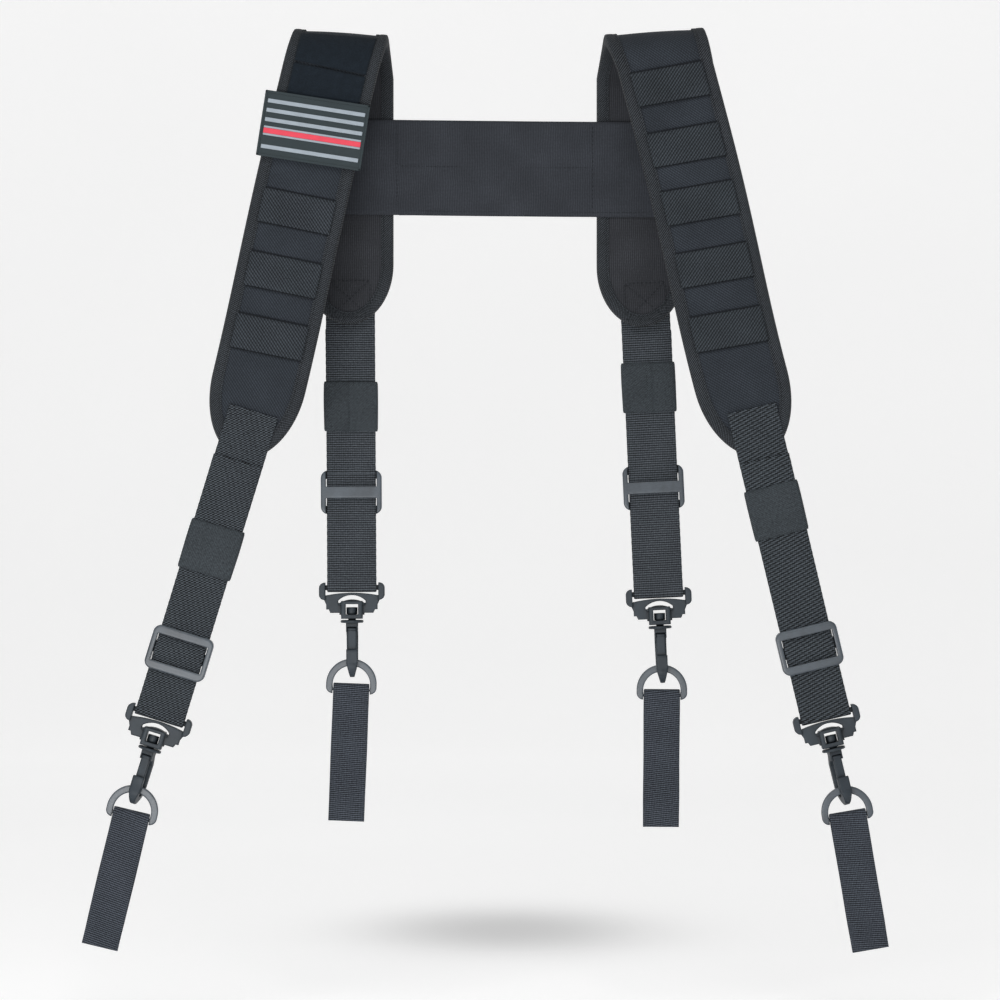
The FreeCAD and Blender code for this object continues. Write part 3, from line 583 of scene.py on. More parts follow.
def stitches(name, points, normals, radius=0.28 * MM, length=2.3 * MM, gap=0.9 * MM):
    """Thread stitches laid along a world path, each a small spindle half sunk in the cloth.

    normals is one direction for the whole path, or one for each of its points."""
    points = np.asarray(points, float)
    normals = np.broadcast_to(np.asarray(normals, float), points.shape)
    along = lengths_along(points)

    def at(values, s):
        return np.array([np.interp(s, along, values[:, n]) for n in range(3)])

    end_sink, body_lift, shoulder = 0.6 * radius, 0.35 * radius, 0.22
    vertices, faces = [], []
    start = 0.5 * gap
    while start + length < along[-1]:
        first, last = at(points, start), at(points, start + length)
        up = at(normals, start + length / 2)
        ahead = last - first
        side = np.cross(up, ahead)
        side /= max(np.linalg.norm(side), 1e-9)
        up = up / max(np.linalg.norm(up), 1e-9)
        base = len(vertices)
        vertices.append(first - up * end_sink)
        for share in (shoulder, 1 - shoulder):
            middle = first + ahead * share + up * body_lift
            for turn in np.radians([45, 135, 225, 315]):
                vertices.append(middle + radius * (side * math.cos(turn) + up * math.sin(turn)))
        vertices.append(last - up * end_sink)
        for n in range(4):
            a, b = base + 1 + n, base + 1 + (n + 1) % 4
            faces += [(base, b, a), (a, b, b + 4, a + 4), (base + 9, a + 4, b + 4)]
        start += length + gap
    return mesh_object(name, vertices, faces, None, THREAD)


def joined(name, pieces):
    """Several mesh objects as one."""
    bpy.ops.object.select_all(action="DESELECT")
    for piece in pieces:
        piece.select_set(True)
    bpy.context.view_layer.objects.active = pieces[0]
    bpy.ops.object.join()
    whole = bpy.context.view_layer.objects.active
    whole.name = name
    return whole


def declare(piece, body, slot, *nodes):
    """Say which body a piece moves with and which CAD nodes it stands for, which get hidden. slot is not
    used.
    """
    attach(piece, body)
    if nodes:
        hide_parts(*nodes)


# ---------------------------------------------------------------- shoulder pads


def joint_point(name):
    return Vector(JOINTS[name]["pos_m"])


class Pad:
    """One shoulder pad. It tells where a point of the flat pad goes once folded over the shoulder."""

    def __init__(self, side):
        fold = FOLDS[side]
        self.side = side
        self.bow = fold["bow"]
        front_tip = joint_point(side + "_front_strap_flex")
        rear_tip = joint_point(side + "_rear_strap_flex")
        self.front_tip = Vector((front_tip.x, 0, front_tip.z))
        self.rear_tip = Vector((fold["rear"], 0, rear_tip.z))
        crown = Vector((fold["across"], 0, fold["height"]))
        self.axis = crown - Vector((0, 0, ARCH_RADIUS + PAD_HALF))
        turn = Matrix.Rotation(math.radians(fold["tilt"]), 3, "Y")
        self.fold_x = turn @ Vector((1, 0, 0))
        self.fold_z = turn @ Vector((0, 0, 1))
        self.crown_x = (crown - self.axis).dot(self.fold_x)
        self.spread = fold["half"] / ((FRONT_HALF_WIDTH + REAR_HALF_WIDTH) / 2)
        rear_top = Vector((fold["rear"], 0, self.axis.z))
        self.front = self.leg(self.front_tip, crown)
        self.rear = self.leg(self.rear_tip, rear_top)
        self.crown_distance = (crown - self.front_tip).length
        self.front_length = self.crossing(self.front_tip, self.front, 0)
        self.rear_length = self.crossing(self.rear_tip, self.rear, 0)
        self.arch_length = math.pi * ARCH_RADIUS
        self.length = self.front_length + self.arch_length + self.rear_length

    def leg(self, tip, top):
        """Unit vectors across and up a leg."""
        up = (top - tip).normalized()
        return Vector((up.z, 0, -up.x)), up

    def crossing(self, tip, leg, v):
        """How far up from its tip the line at v across a leg meets the fold's plane."""
        across, up = leg
        start = tip + across * v - self.axis
        return -start.dot(self.fold_z) / up.dot(self.fold_z)

    def bowed(self, share):
        """A leg's sideways sway at a share of the way from its tip to the crown."""
        share = min(max(share, 0), 1)
        return self.bow * math.sin(2 * math.pi * share) * (1.2 - share)

    def on_leg(self, tip, leg, length, from_tip, v, bow, y):
        """A place on a leg. Near the fold its lines stretch or shrink to end together on the fold."""
        across, up = leg
        share = max(from_tip, 0) / length
        reach = self.crossing(tip, leg, v) - length
        return tip + across * (v + bow) + up * (from_tip + reach * share ** 2) + Vector((0, y, 0))

    def point(self, s, v, w):
        """A point of the flat pad, folded over the shoulder."""
        out = ARCH_RADIUS + w
        if s <= self.front_length:
            bow = self.bowed(s / self.crown_distance)
            return self.on_leg(self.front_tip, self.front, self.front_length, s, v, bow, -out)
        from_rear = self.length - s
        if from_rear <= self.rear_length:
            return self.on_leg(self.rear_tip, self.rear, self.rear_length, from_rear, v, 0, out)
        angle = (s - self.front_length) / ARCH_RADIUS
        if angle < math.pi / 2:
            bow = self.bowed(self.front_length / self.crown_distance)
            foot = self.point_on(self.front_tip, self.front, v, bow)
        else:
            foot = self.point_on(self.rear_tip, self.rear, v, 0)
        across = foot + (self.crown_x + v * self.spread - foot) * math.sin(angle)
        place = self.axis + self.fold_x * across + self.fold_z * (out * math.sin(angle))
        return place + Vector((0, -out * math.cos(angle), 0))

    def point_on(self, tip, leg, v, bow):
        """Where the line at v across a leg crosses the fold's plane, along the fold."""
        across, up = leg
        at = tip + across * (v + bow) + up * self.crossing(tip, leg, v)
        return (at - self.axis).dot(self.fold_x)

    def normal(self, s, v):
        """The outward direction at a place on the pad."""
        low, high = self.point(s, v, 0), self.point(s, v, 1 * MM)
        return (high - low).normalized()

    def down(self, distance):
        """s at a distance down the front from the crown, given in millimetres."""
        return self.crown_distance - distance * MM

    def leaning(self, s, v):
        """s moved along so that the rows slope alike. It fades out towards the tip and over the fold."""
        share = min(max(s / self.front_length, 0), 1)
        leg_slope = math.atan2(self.front[0].z, self.front[0].x)
        fold_slope = math.atan2(self.fold_x.z, self.fold_x.x)
        slope_here = leg_slope + (fold_slope - leg_slope) * share ** 2
        lean = math.tan(math.radians(ROW_SLOPE[self.side]) - slope_here)
        from_tip = s / LEAN_FADE
        from_fold = (self.front_length + LEAN_FADE - s) / LEAN_FADE
        fade = min(max(min(from_tip, from_fold), 0), 1)
        return s + v * lean * fade

    def half_width(self, s):
        """Half the pad's width at s, before its rounded ends."""
        share = (s - self.front_length) / self.arch_length
        share = min(max(share, 0), 1)
        return FRONT_HALF_WIDTH + (REAR_HALF_WIDTH - FRONT_HALF_WIDTH) * share

    def outline(self, step=3 * MM):
        """The flat pad's edge as (s, v) points, once round, starting at the front tip."""
        quarter = np.linspace(0, math.pi / 2, 24)
        front = [(FRONT_END * (1 - math.cos(a)), FRONT_HALF_WIDTH * math.sin(a)) for a in quarter]
        rear = [(self.length - REAR_END * (1 - math.cos(a)), REAR_HALF_WIDTH * math.sin(a)) for a in quarter]
        side = front + [(self.front_length, FRONT_HALF_WIDTH)]
        side += [(self.length - self.rear_length, REAR_HALF_WIDTH)] + rear[::-1]
        other = [(s, -v) for s, v in side[::-1]]
        return resampled(side + other[1:], step)


def inward(outline):
    """Unit directions into the pad from each point of its closed outline."""
    ahead = np.roll(outline, -1, axis=0) - np.roll(outline, 1, axis=0)
    ahead[0] = ahead[-1] = outline[1] - outline[-2]
    ahead /= np.linalg.norm(ahead, axis=1)[:, None]
    into = np.stack([ahead[:, 1], -ahead[:, 0]], axis=1)
    return into


def edge_profile(distance, half=3.7 * MM, reach=1.5 * MM):
    """The pad's half thickness at a distance in from its edge."""
    share = np.clip(distance / reach, 0, 1)
    return half * np.sqrt(1 - (1 - share) ** 2)


def edge_distance(pad, places):
    """How far each (s, v) place is from the pad's edge."""
    edge = pad.outline(2 * MM)
    found = np.full(len(places), 1.0)
    for start in range(0, len(places), 2000):
        part = places[start:start + 2000]
        gaps = np.linalg.norm(part[:, None, :] - edge[None, :, :], axis=2)
        found[start:start + 2000] = gaps.min(axis=1)
    return found


def seam_places(pad):
    """Where seams cross the front of the pad, as s values."""
    seams = []
    for top, bottom in ROWS[pad.side]:
        seams += [pad.down(top), pad.down(bottom)]
    if pad.side == "right":
        for top, bottom in TAPES:
            seams += [pad.down(top), pad.down(bottom)]
    return sorted(seams)


def flat_grid(pad, cell=4.4 * MM, inset=6.0 * MM):
    """Rows of (s, v) places over the pad, drawn in from its edge, that follow its seams."""
    stops = [0.0] + seam_places(pad) + [pad.front_length, pad.front_length + pad.arch_length, pad.length]
    rows = [0.0]
    for low, high in zip(stops, stops[1:]):
        count = max(1, round((high - low) / cell))
        rows += list(np.linspace(low, high, count + 1)[1:])
    shares = np.sin(np.linspace(-math.pi / 2, math.pi / 2, 19))
    places = []
    for s in rows:
        for share in shares:
            half = pad.half_width(s) - inset
            first = inset + (FRONT_END - inset) * (1 - math.sqrt(max(0, 1 - share ** 2)))
            last = pad.length - inset - (REAR_END - inset) * (1 - math.sqrt(max(0, 1 - share ** 2)))
            place = first + (last - first) * (s / pad.length)
            places.append((pad.leaning(place, half * share), half * share))
    return np.array(places), len(rows), len(shares)


def simulate(flat, pins, pressure=4.0, frames=20):
    """Inflate a flat closed shell with cloth simulation, holding its pinned points."""
    group = flat.vertex_groups.new(name="held")
    for index, weight in enumerate(pins):
        if weight > 0:
            group.add([index], float(weight), "REPLACE")
    cloth = flat.modifiers.new("cloth", "CLOTH")
    for setting, value in {
        "quality": 6, "mass": 0.3, "tension_stiffness": 30, "compression_stiffness": 30,
        "bending_stiffness": 2.0, "use_pressure": True, "uniform_pressure_force": pressure,
        "vertex_group_mass": "held",
    }.items():
        setattr(cloth.settings, setting, value)
    cloth.settings.effector_weights.gravity = 0
    scene = bpy.context.scene
    for number in range(1, frames + 1):
        scene.frame_set(number)
    graph = bpy.context.evaluated_depsgraph_get()
    result = np.zeros(len(flat.data.vertices) * 3)
    flat.evaluated_get(graph).data.vertices.foreach_get("co", result)
    flat.modifiers.remove(cloth)
    scene.frame_set(1)
    return result.reshape(-1, 3)


def pad_body(pad):
    """The padded middle of a pad: foam under a cover, swollen between its seams."""
    places, rows, columns = flat_grid(pad)
    depth = edge_profile(edge_distance(pad, places))
    count = rows * columns
    top = np.column_stack([places[:, 1], places[:, 0], depth * OUTSIDE_SHARE])
    bottom = np.column_stack([places[:, 1], places[:, 0], -depth * LINING_SHARE])
    faces = shell_faces(rows, columns)
    flat = mesh_object(pad.side + "_shell", np.concatenate([top, bottom]), faces)
    grid = places.reshape(rows, columns, 2)
    back = np.zeros((rows, columns))
    back[0], back[-1], back[:, 0], back[:, -1] = 1, 1, 1, 1
    held = back.copy()
    for seam in seam_places(pad):
        held[np.abs(grid[:, columns // 2, 0] - seam) < 1.0 * MM] = 1
    start = np.concatenate([top, bottom])
    swollen = simulate(flat, np.concatenate([held.ravel(), back.ravel()]))
    shape = start + np.clip(swollen - start, -MOST_SWELLING, MOST_SWELLING)
    outside = shape[:count, 2]
    shape[:count, 2] = np.where(covered(pad, places), np.minimum(outside, UNDER_ROWS), outside)
    bpy.data.objects.remove(flat)
    points = [pad.point(s, v, w) for v, s, w in shape]
    uvs = np.concatenate([places[:, ::-1], places[:, ::-1]])
    body = mesh_object(pad.side + "_pad_body", points, faces, uvs, COVER)
    body.data.materials.append(LINING)
    cover_faces = (rows - 1) * (columns - 1)
    body.data.polygons.foreach_set("material_index", [0] * cover_faces + [1] * (len(faces) - cover_faces))
    smoothed(body, 1)
    declare(body, "root", "cover_fabric", pad.side + "_pad_foam", pad.side + "_pad_cover")


def covered(pad, places):
    """Which places lie under a row of webbing or a tape."""
    under = np.zeros(len(places), bool)
    bands = list(ROWS[pad.side]) + (TAPES if pad.side == "right" else [])
    for top, bottom in bands:
        under |= (places[:, 0] < pad.down(top - 1)) & (places[:, 0] > pad.down(bottom + 1))
    return under


def smoothed(piece, levels):
    """Apply a subdivision surface."""
    modifier = piece.modifiers.new("smooth", "SUBSURF")
    modifier.levels = levels
    modifier.render_levels = levels
    graph = bpy.context.evaluated_depsgraph_get()
    mesh = bpy.data.meshes.new_from_object(piece.evaluated_get(graph))
    piece.modifiers.clear()
    piece.data = mesh
    mesh.polygons.foreach_set("use_smooth", [True] * len(mesh.polygons))


def pad_binding(pad):
    """Tape folded over the pad's edge, with a row of stitches that pulls it in."""
    outline = pad.outline(1.6 * MM)[:-1]
    reaches = np.array([9.0, 8.9, 8.4, 7.8, 7.2, 6.6, 5.4, 4.0, 2.6, 1.6, 0.8, 0.3, 0.0]) * MM
    lift = np.array([0.02, 0.55, 0.62, 0.45, 0.3, 0.45, 0.72, 0.8, 0.75, 0.7, 0.65, 0.6, 0.6]) * MM
    profile = [(reach, 1, up) for reach, up in zip(reaches, lift)]
    profile += [(reach, -1, up) for reach, up in zip(reaches[-2::-1], lift[-2::-1])]
    points, uvs, along = [], [], 0.0
    previous = outline[0]
    lines = {1: ([], []), -1: ([], [])}
    for place, way in zip(outline, inward(outline)):
        along += float(np.linalg.norm(place - previous))
        previous = place
        pull = 0.14 * MM * math.sin(along * 2 * math.pi / PUCKER_PITCH)
        uneven = 0.08 * MM * math.sin(along * 61)
        for reach, side, up in profile:
            pucker = pull * math.exp(-abs(reach - BINDING_STITCH) / (2 * MM))
            half = float(edge_profile(reach)) + up + pucker + uneven
            if reach > 0:
                s, v = place + way * reach
                points.append(pad.point(s, v, side * half))
            else:
                s, v = place - way * BINDING_OVER
                points.append(pad.point(s, v, 0))
            uvs.append((side * reach + BINDING_WIDTH, along))
        s, v = place + way * BINDING_STITCH
        half = float(edge_profile(BINDING_STITCH)) + 0.42 * MM
        for side, (line, normals) in lines.items():
            line.append(pad.point(s, v, side * half))
            normals.append(pad.normal(s, v) * side)
    faces = grid_faces(len(outline), len(profile), round_rows=True)
    tape = mesh_object(pad.side + "_binding", points, faces, uvs, BINDING)
    declare(tape, "root", "binding_tape", pad.side + "_pad_binding")
    for side, end in ((1, "out"), (-1, "in")):
        threads = stitches(f"{pad.side}_binding_thread_{end}", *lines[side])
        declare(threads, "root", "binding_tape")


def pad_band(pad, name, top, bottom, thick, material, bulge):
    """A band of webbing or tape sewn across the front of a pad, its ends under the binding."""
    low, high = pad.down(bottom), pad.down(top)
    half = FRONT_HALF_WIDTH - BINDING_WIDTH + BAND_TUCK

    def place(lift, s, v):
        near_edge = min(s - low, high - s)
        crown = bulge * (1 - (v / half) ** 2)
        lip = 0.22 * MM * math.exp(-near_edge / (0.8 * MM))
        ripple = 0.1 * MM * math.sin(v * 230 + s * 90) * math.exp(-near_edge / (4 * MM))
        return pad.point(pad.leaning(s, v), v, BAND_HEIGHT + crown + ripple - lip + lift), (v, s)

    rows = np.linspace(low, high, max(6, round((high - low) / (1.6 * MM))))
    return shell(name, rows, np.linspace(-half, half, 30), (thick, 0), place, material)


def painted_seam_shadow(pad, name, top, bottom):
    """Dark strips along a row's two long edges: painted shadow in the gaps beside the row."""
    half = FRONT_HALF_WIDTH - BINDING_WIDTH + 0.6 * MM
    seam_shadow_strips = []
    for number, (near, far) in enumerate([(top - 1.0, top), (bottom, bottom + 1.0)]):

        def place(height, s, v):
            wobble = 0.12 * MM * math.sin(v * 900 + number)
            return pad.point(pad.leaning(s + wobble, v), v, height), (v, s)

        rows = np.linspace(pad.down(far), pad.down(near), 3)
        columns = np.linspace(-half, half, 24)
        seam_shadow_strips.append(shell(f"{name}_{number}", rows, columns, SEAM_SHADOW_HEIGHTS, place, SEAM_SHADOW_PAINT))
    return seam_shadow_strips


def rows_and_tapes(pads):
    for side, pad in pads.items():
        bands = []
        for number, (top, bottom) in enumerate(ROWS[side]):
            bands.append(pad_band(pad, f"{side}_row_{number}", top, bottom, 1.2 * MM, ROW[side], 0.5 * MM))
            # dark strips painted as the shadow along the row's edges
            bands += painted_seam_shadow(pad, f"{side}_groove_{number}", top, bottom)
        rows = joined(side + "_rows", bands)
        declare(rows, "root", "webbing", side + "_webbing_rows")
    tapes = []
    for number, (top, bottom) in enumerate(TAPES):
        tapes.append(pad_band(pads["right"], f"tape_{number}", top, bottom, 1.1 * MM, TAPE, 0.2 * MM))
    tapes = joined("loop_tapes", tapes)
    declare(tapes, "root", "loop_tape", "right_loop_tapes")


# ---------------------------------------------------------------- yoke and patch


def yoke():
    """A doubled panel of cloth between the rear pads, folded along its bottom edge."""
    low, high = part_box("yoke_panel")

    def place(y, z, x):
        ripple = 0.25 * MM * math.sin(x * 47 + z * 21) + 0.15 * MM * math.sin(x * 131 - z * 60)
        pinch = 0.45 * MM * math.exp(-min(z - low.z, high.z - z) / (0.7 * MM))
        inwards = 1 if y == low.y else -1
        shift = ripple + inwards * (stitch_dip(x, z) + pinch)
        return (x, y + shift, z + yoke_rise(x, low, high)), (x, z)

    rows, columns = np.linspace(low.z, high.z, 38), np.linspace(low.x, high.x, 120)
    panel = shell("yoke_cloth_panel", rows, columns, (low.y, high.y), place, YOKE)
    declare(panel, "root", "yoke_fabric", "yoke_panel")
    yoke_seams(low, high)


def yoke_rise(x, low, high):
    """The panel hangs a little higher towards the right_ side."""
    share = (high.x - x) / (high.x - low.x)
    return (0.7 * share + 1.8 * share ** 2) * MM


def stitch_dip(x, z):
    """How deep the yoke's seams pull the cloth in."""
    nearest = min(abs(x - at) for at in SEAM_ACROSS)
    dip = 0.3 * MM * math.exp(-(nearest / (1.4 * MM)) ** 2)
    if 25 * MM < abs(x) < 75 * MM:
        dip += 0.12 * MM * math.exp(-(abs(z - SEAM_HEIGHT) / (1.2 * MM)) ** 2)
    return dip


def yoke_seams(low, high):
    """Lines of stitches on the side of the yoke that faces the wearer's back, and on its outside."""

    def across(start, end, count, y, z):
        return [(x, y, z + yoke_rise(x, low, high)) for x in np.linspace(start, end, count)]

    threads = []
    for number, x in enumerate(SEAM_ACROSS):
        for y, way in ((low.y + 0.1 * MM, -1), (high.y - 0.1 * MM, 1)):
            heights = np.linspace(low.z + 6 * MM, high.z - 3 * MM, 30)
            line = [(x, y, z + yoke_rise(x, low, high)) for z in heights]
            threads.append(stitches(f"yoke_seam_{number}_{way}", line, (0, way, 0), 0.22 * MM))
    for number, (start, end) in enumerate([(-73, -28), (20, 73)]):
        line = across(start * MM, end * MM, 30, low.y + 0.05 * MM, SEAM_HEIGHT)
        threads.append(stitches(f"yoke_line_{number}", line, (0, -1, 0), 0.16 * MM))
    edge = across(low.x + 3 * MM, high.x - 3 * MM, 60, low.y + 0.1 * MM, low.z + 3.5 * MM)
    threads.append(stitches("yoke_edge", edge, (0, -1, 0), 0.15 * MM))
    declare(joined("yoke_thread", threads), "root", "yoke_fabric")


def loop_field():
    """The strips of loop tape on the back of the yoke."""
    node = frame["nodes"]["yoke_loop_field"]
    coat(node, TAPE)


def coat(node, material):
    """Give a CAD node a material in every slot."""
    if not node.data.materials:
        node.data.materials.append(material)
    for number in range(len(node.data.materials)):
        node.data.materials[number] = material


# ---------------------------------------------------------------- straps


class Strap:
    """One corner's strap: its frame and its places, read from the record's joints."""

    def __init__(self, corner):
        self.corner = corner
        down = Vector(JOINTS[corner + "_keeper_slide"]["axis"])
        self.way = -1 if corner.endswith("front") else 1
        out = Vector((0, self.way, 0))
        up = -down
        across = out.cross(up)
        origin = joint_point(corner + "_strap_flex") - out * LAYER_TO_FACE
        self.place = frame_at(across, out, up, origin)
        self.bar = (joint_point(corner + "_base_swing") - origin).dot(up)
        self.outer_side = math.copysign(1, origin.x * across.x)
        self.keeper_top = self.highest("keeper")
        self.glide = self.middle("tri_glide")

    def local(self, node):
        """A CAD node's points in the strap's frame."""
        mesh = frame["nodes"][f"{self.corner}_{node}"].data
        points = np.array([vertex.co for vertex in mesh.vertices])
        return to_world(points, self.place.inverted())

    def highest(self, node):
        return float(self.local(node)[:, 2].max())

    def middle(self, node):
        heights = self.local(node)[:, 2]
        return float(heights.min() + heights.max()) / 2

    def world(self, x, y, z):
        return self.place @ Vector((x, y, z))

    def name(self, part):
        return f"{self.corner}_{part}"


def strap_webbing(strap):
    """The webbing of one strap, split where one stretch slides past another."""
    material = STRAP_OUTER[strap.corner.split("_")[0]] if strap.way < 0 else STRAP_INNER
    split = strap.keeper_top - KEEPER_LENGTH / 2
    glide_top = strap.glide + GLIDE_HALF - 2.5 * MM
    drift = TAIL_DRIFT * strap.outer_side

    def run(part, path, *shape):
        return ribbon(strap.name(part), strap.place, path, WEBBING, THICK, material, *shape)

    def bend(piece, first, second, top, bottom, node):
        strap.world(0, 0, top)
        strap.world(0, 0, bottom)
        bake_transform(piece)
        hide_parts(node)

    upper = run("webbing_upper", [(MAIN_LAYER, TAB_TOP), (MAIN_LAYER, split)], FLAT_WAVE)
    bend(upper, "root", strap.name("strap"), BEND_TOP, BEND_BOTTOM, strap.name("tab"))
    lower = run("webbing_lower", [(MAIN_LAYER, split), (MAIN_LAYER, glide_top)], FLAT_WAVE)
    bend(lower, strap.name("strap"), strap.name("bight"), split, glide_top, strap.name("strap_webbing"))
    bight = run("webbing_round_bar", bight_path(strap, glide_top), BENT_WAVE, BENT_STEP)
    declare(bight, strap.name("bight"), "webbing", strap.name("webbing_bight"))
    tail = run("webbing_tail", tail_path(glide_top), BENT_WAVE, BENT_STEP, drift)
    tail_bottom = TAIL_END - 12 * MM
    bend(tail, strap.name("bight"), strap.name("tail"), glide_top, tail_bottom, strap.name("strap_tail"))
    hem_face = TAIL_LAYER + HEM_LIFT + THICK / 2 - 0.05 * MM
    line = [
        strap.world(x + drift, hem_face, TAIL_END - HEM_STITCH)
        for x in np.linspace(-17, 17, 20) * MM
    ]
    hem = stitches(strap.name("hem_thread"), line, (0, strap.way, 0), 0.15 * MM)
    declare(hem, strap.name("tail"), "webbing")


def bight_path(strap, glide_top):
    """Down the main layer, round the hook's bar and up to the glide, bulging in its window."""
    bar = strap.bar
    path = [(MAIN_LAYER, glide_top), (MAIN_LAYER, bar + BIGHT_LENGTH)]
    path += [(BAR_DEPTH - BEND_RADIUS, bar)]
    path += arc_points((BAR_DEPTH, bar), BEND_RADIUS, 180, 360, 13)[1:]
    path += [(TAIL_LAYER, bar + BIGHT_LENGTH)]
    for share in np.linspace(-1, 1, 17):
        bulge = 2.3 * MM * math.cos(share * math.pi / 2) ** 1.2 if abs(share) < 1 else 0
        path.append((TAIL_LAYER + bulge, strap.glide + share * (GLIDE_WINDOW + 0.5 * MM)))
    path.append((TAIL_LAYER, glide_top))
    return path


def tail_path(glide_top):
    """Up from the glide to the tail's end, which is folded under and sewn down."""
    outer, inner = TAIL_LAYER + HEM_LIFT, TAIL_LAYER - 0.1 * MM
    radius = (outer - inner) / 2
    fold = TAIL_END - HEM_STITCH - 2 * MM
    path = [(TAIL_LAYER, glide_top), (TAIL_LAYER, fold - 6 * MM), (outer, fold), (outer, TAIL_END - radius)]
    path += arc_points((outer - radius, TAIL_END - radius), radius, 0, 180, 9)[1:]
    path += [(inner, fold + 1 * MM)]
    return path


def tab_stitches(strap):
    """A box with a cross in it, sewn through the tab and showing on both sides of the pad."""
    half, low, high = 15.5 * MM, 5 * MM, 33 * MM
    corners = [(-half, low), (half, low), (half, high), (-half, high)]
    lines = list(zip(corners, corners[1:] + corners[:1]))
    lines += [(corners[0], corners[2]), (corners[1], corners[3])]
    threads = []
    for number, ends in enumerate(lines):
        places = resampled(ends, 2 * MM)
        for label, depth, way in (("box", TAB_THREAD, 1), ("inbox", LINING_THREAD, -1)):
            line = [strap.world(x, depth, z) for x, z in places]
            out = (0, way * strap.way, 0)
            threads.append(stitches(f"{strap.corner}_{label}_{number}", line, out))
    whole = joined(strap.name("box_thread"), threads)
    declare(whole, "root", "webbing")


def keeper(strap):
    """A sleeve of dense cloth, its ends overlapping on the side that faces the wearer."""
    half, near, far, corner = 20.2 * MM, -0.2 * MM, 4.6 * MM, 1.3 * MM
    left, right, low, high = -half + corner, half - corner, near + corner, far - corner
    overlap = near - 1.15 * MM
    path = [(2.5 * MM, near)]
    for centre, start in (((left, low), 270), ((left, high), 180), ((right, high), 90), ((right, low), 0)):
        path += arc_points(centre, corner, start, start - 90, 6)
    path += [(3.5 * MM, near), (1.5 * MM, overlap), (-1 * MM, overlap)]
    path = resampled(path, 1.5 * MM)
    ahead = headings(path)
    normal = np.stack([-ahead[:, 1], ahead[:, 0]], axis=1)
    half_thick, swelling = 0.55 * MM, 0.35 * MM
    hem = 0.06
    edge = [
        (share, max(0.2, math.sqrt(max(0.0, 1 - max(0, abs(share - 0.5) * 2 - 1 + hem) ** 2 / hem ** 2))))
        for share in np.linspace(0, 1, 22)
    ]
    profile = edge + [(share, -thick) for share, thick in edge[::-1]]
    points, uvs = [], []
    for (x, y), (nx, ny), s in zip(path, normal, lengths_along(path)):
        lean = 0.25 * MM * math.sin(s * 70)
        for share, thick in profile:
            z = strap.keeper_top - KEEPER_LENGTH * share
            swell = swelling * math.sin(share * math.pi) + 0.1 * MM * math.sin(s * 300 + share * 5)
            off = half_thick * thick + swell
            points.append((x + nx * off, y + ny * off, z + lean))
            uvs.append((s, z))
    faces = grid_faces(len(path), len(profile), round_columns=True)
    sleeve = mesh_object(strap.name("sleeve"), to_world(points, strap.place), faces, uvs, SLEEVE)
    declare(sleeve, strap.name("keeper"), "webbing", strap.name("keeper"))


def belt_loop(strap):
    """Webbing doubled round the D-ring's bar and sewn together at the bottom."""
    joint = JOINTS[strap.name("loop_swing")]
    across = Vector(joint["axis"])
    out = Vector((0, strap.way, 0))
    if across.cross(out).z < 0:
        across = -across
    up = across.cross(out)
    origin = Vector(joint["pos_m"])
    place = frame_at(across, out, up, origin)
    half, bottom = BELT_THICK / 2, -BELT_LENGTH
    sewn, spread = bottom + 11 * MM, bottom + 22 * MM
    path = [(half, bottom), (half, sewn), (BELT_BEND, spread), (BELT_BEND, 0)]
    path += arc_points((0, 0), BELT_BEND, 0, 180, 13)[1:]
    path += [(-BELT_BEND, spread), (-half, sewn), (-half, bottom)]
    loop = ribbon(strap.name("loop"), place, path, BELT_WEBBING, BELT_THICK, LOOPS, 0.06 * MM, 1.5 * MM)
    declare(loop, strap.name("belt_loop"), "webbing", strap.name("belt_loop"))
    strap.name("ring_shell")


def softened(node, name, radius, material):
    """A copy of a moulded CAD piece with its edges rounded."""
    source = frame["nodes"][node]
    piece = bpy.data.objects.new(name, source.data.copy())
    bpy.context.scene.collection.objects.link(piece)
    piece.data.materials.clear()
    piece.data.materials.append(material)
    weld = piece.modifiers.new("weld", "WELD")
    weld.merge_threshold = 0.01 * MM
    flats = piece.modifiers.new("flats", "DECIMATE")
    flats.decimate_type = "DISSOLVE"
    flats.angle_limit = math.radians(2)
    round_off = piece.modifiers.new("round_off", "BEVEL")
    round_off.width = radius
    round_off.segments = 3
    round_off.limit_method = "ANGLE"
    round_off.angle_limit = math.radians(35)
    round_off.harden_normals = True
    graph = bpy.context.evaluated_depsgraph_get()
    mesh = bpy.data.meshes.new_from_object(piece.evaluated_get(graph))
    piece.modifiers.clear()
    piece.data = mesh
    return piece


MOULDINGS = {
    "tri_glide": (1.0 * MM, PLASTIC),
    "hook_base": (0.7 * MM, PLASTIC_PAINTED_DARKER),
    "swivel_hook": (1.1 * MM, PLASTIC_PAINTED_DARKER),
    "gate": (0.4 * MM, PLASTIC_PAINTED_DARKER),
    "d_ring": (0.9 * MM, PLASTIC),
}


def hardware(corner):
    """The moulded pieces of one strap, in the shapes of the CAD pieces but with softer edges."""
    for part, (radius, material) in MOULDINGS.items():
        node = f"{corner}_{part}"
        moulding = softened(node, node.replace("d_ring", "ring") + "_shell", radius, material)
        declare(moulding, node, "plastic", node)


# ---------------------------------------------------------------- patch


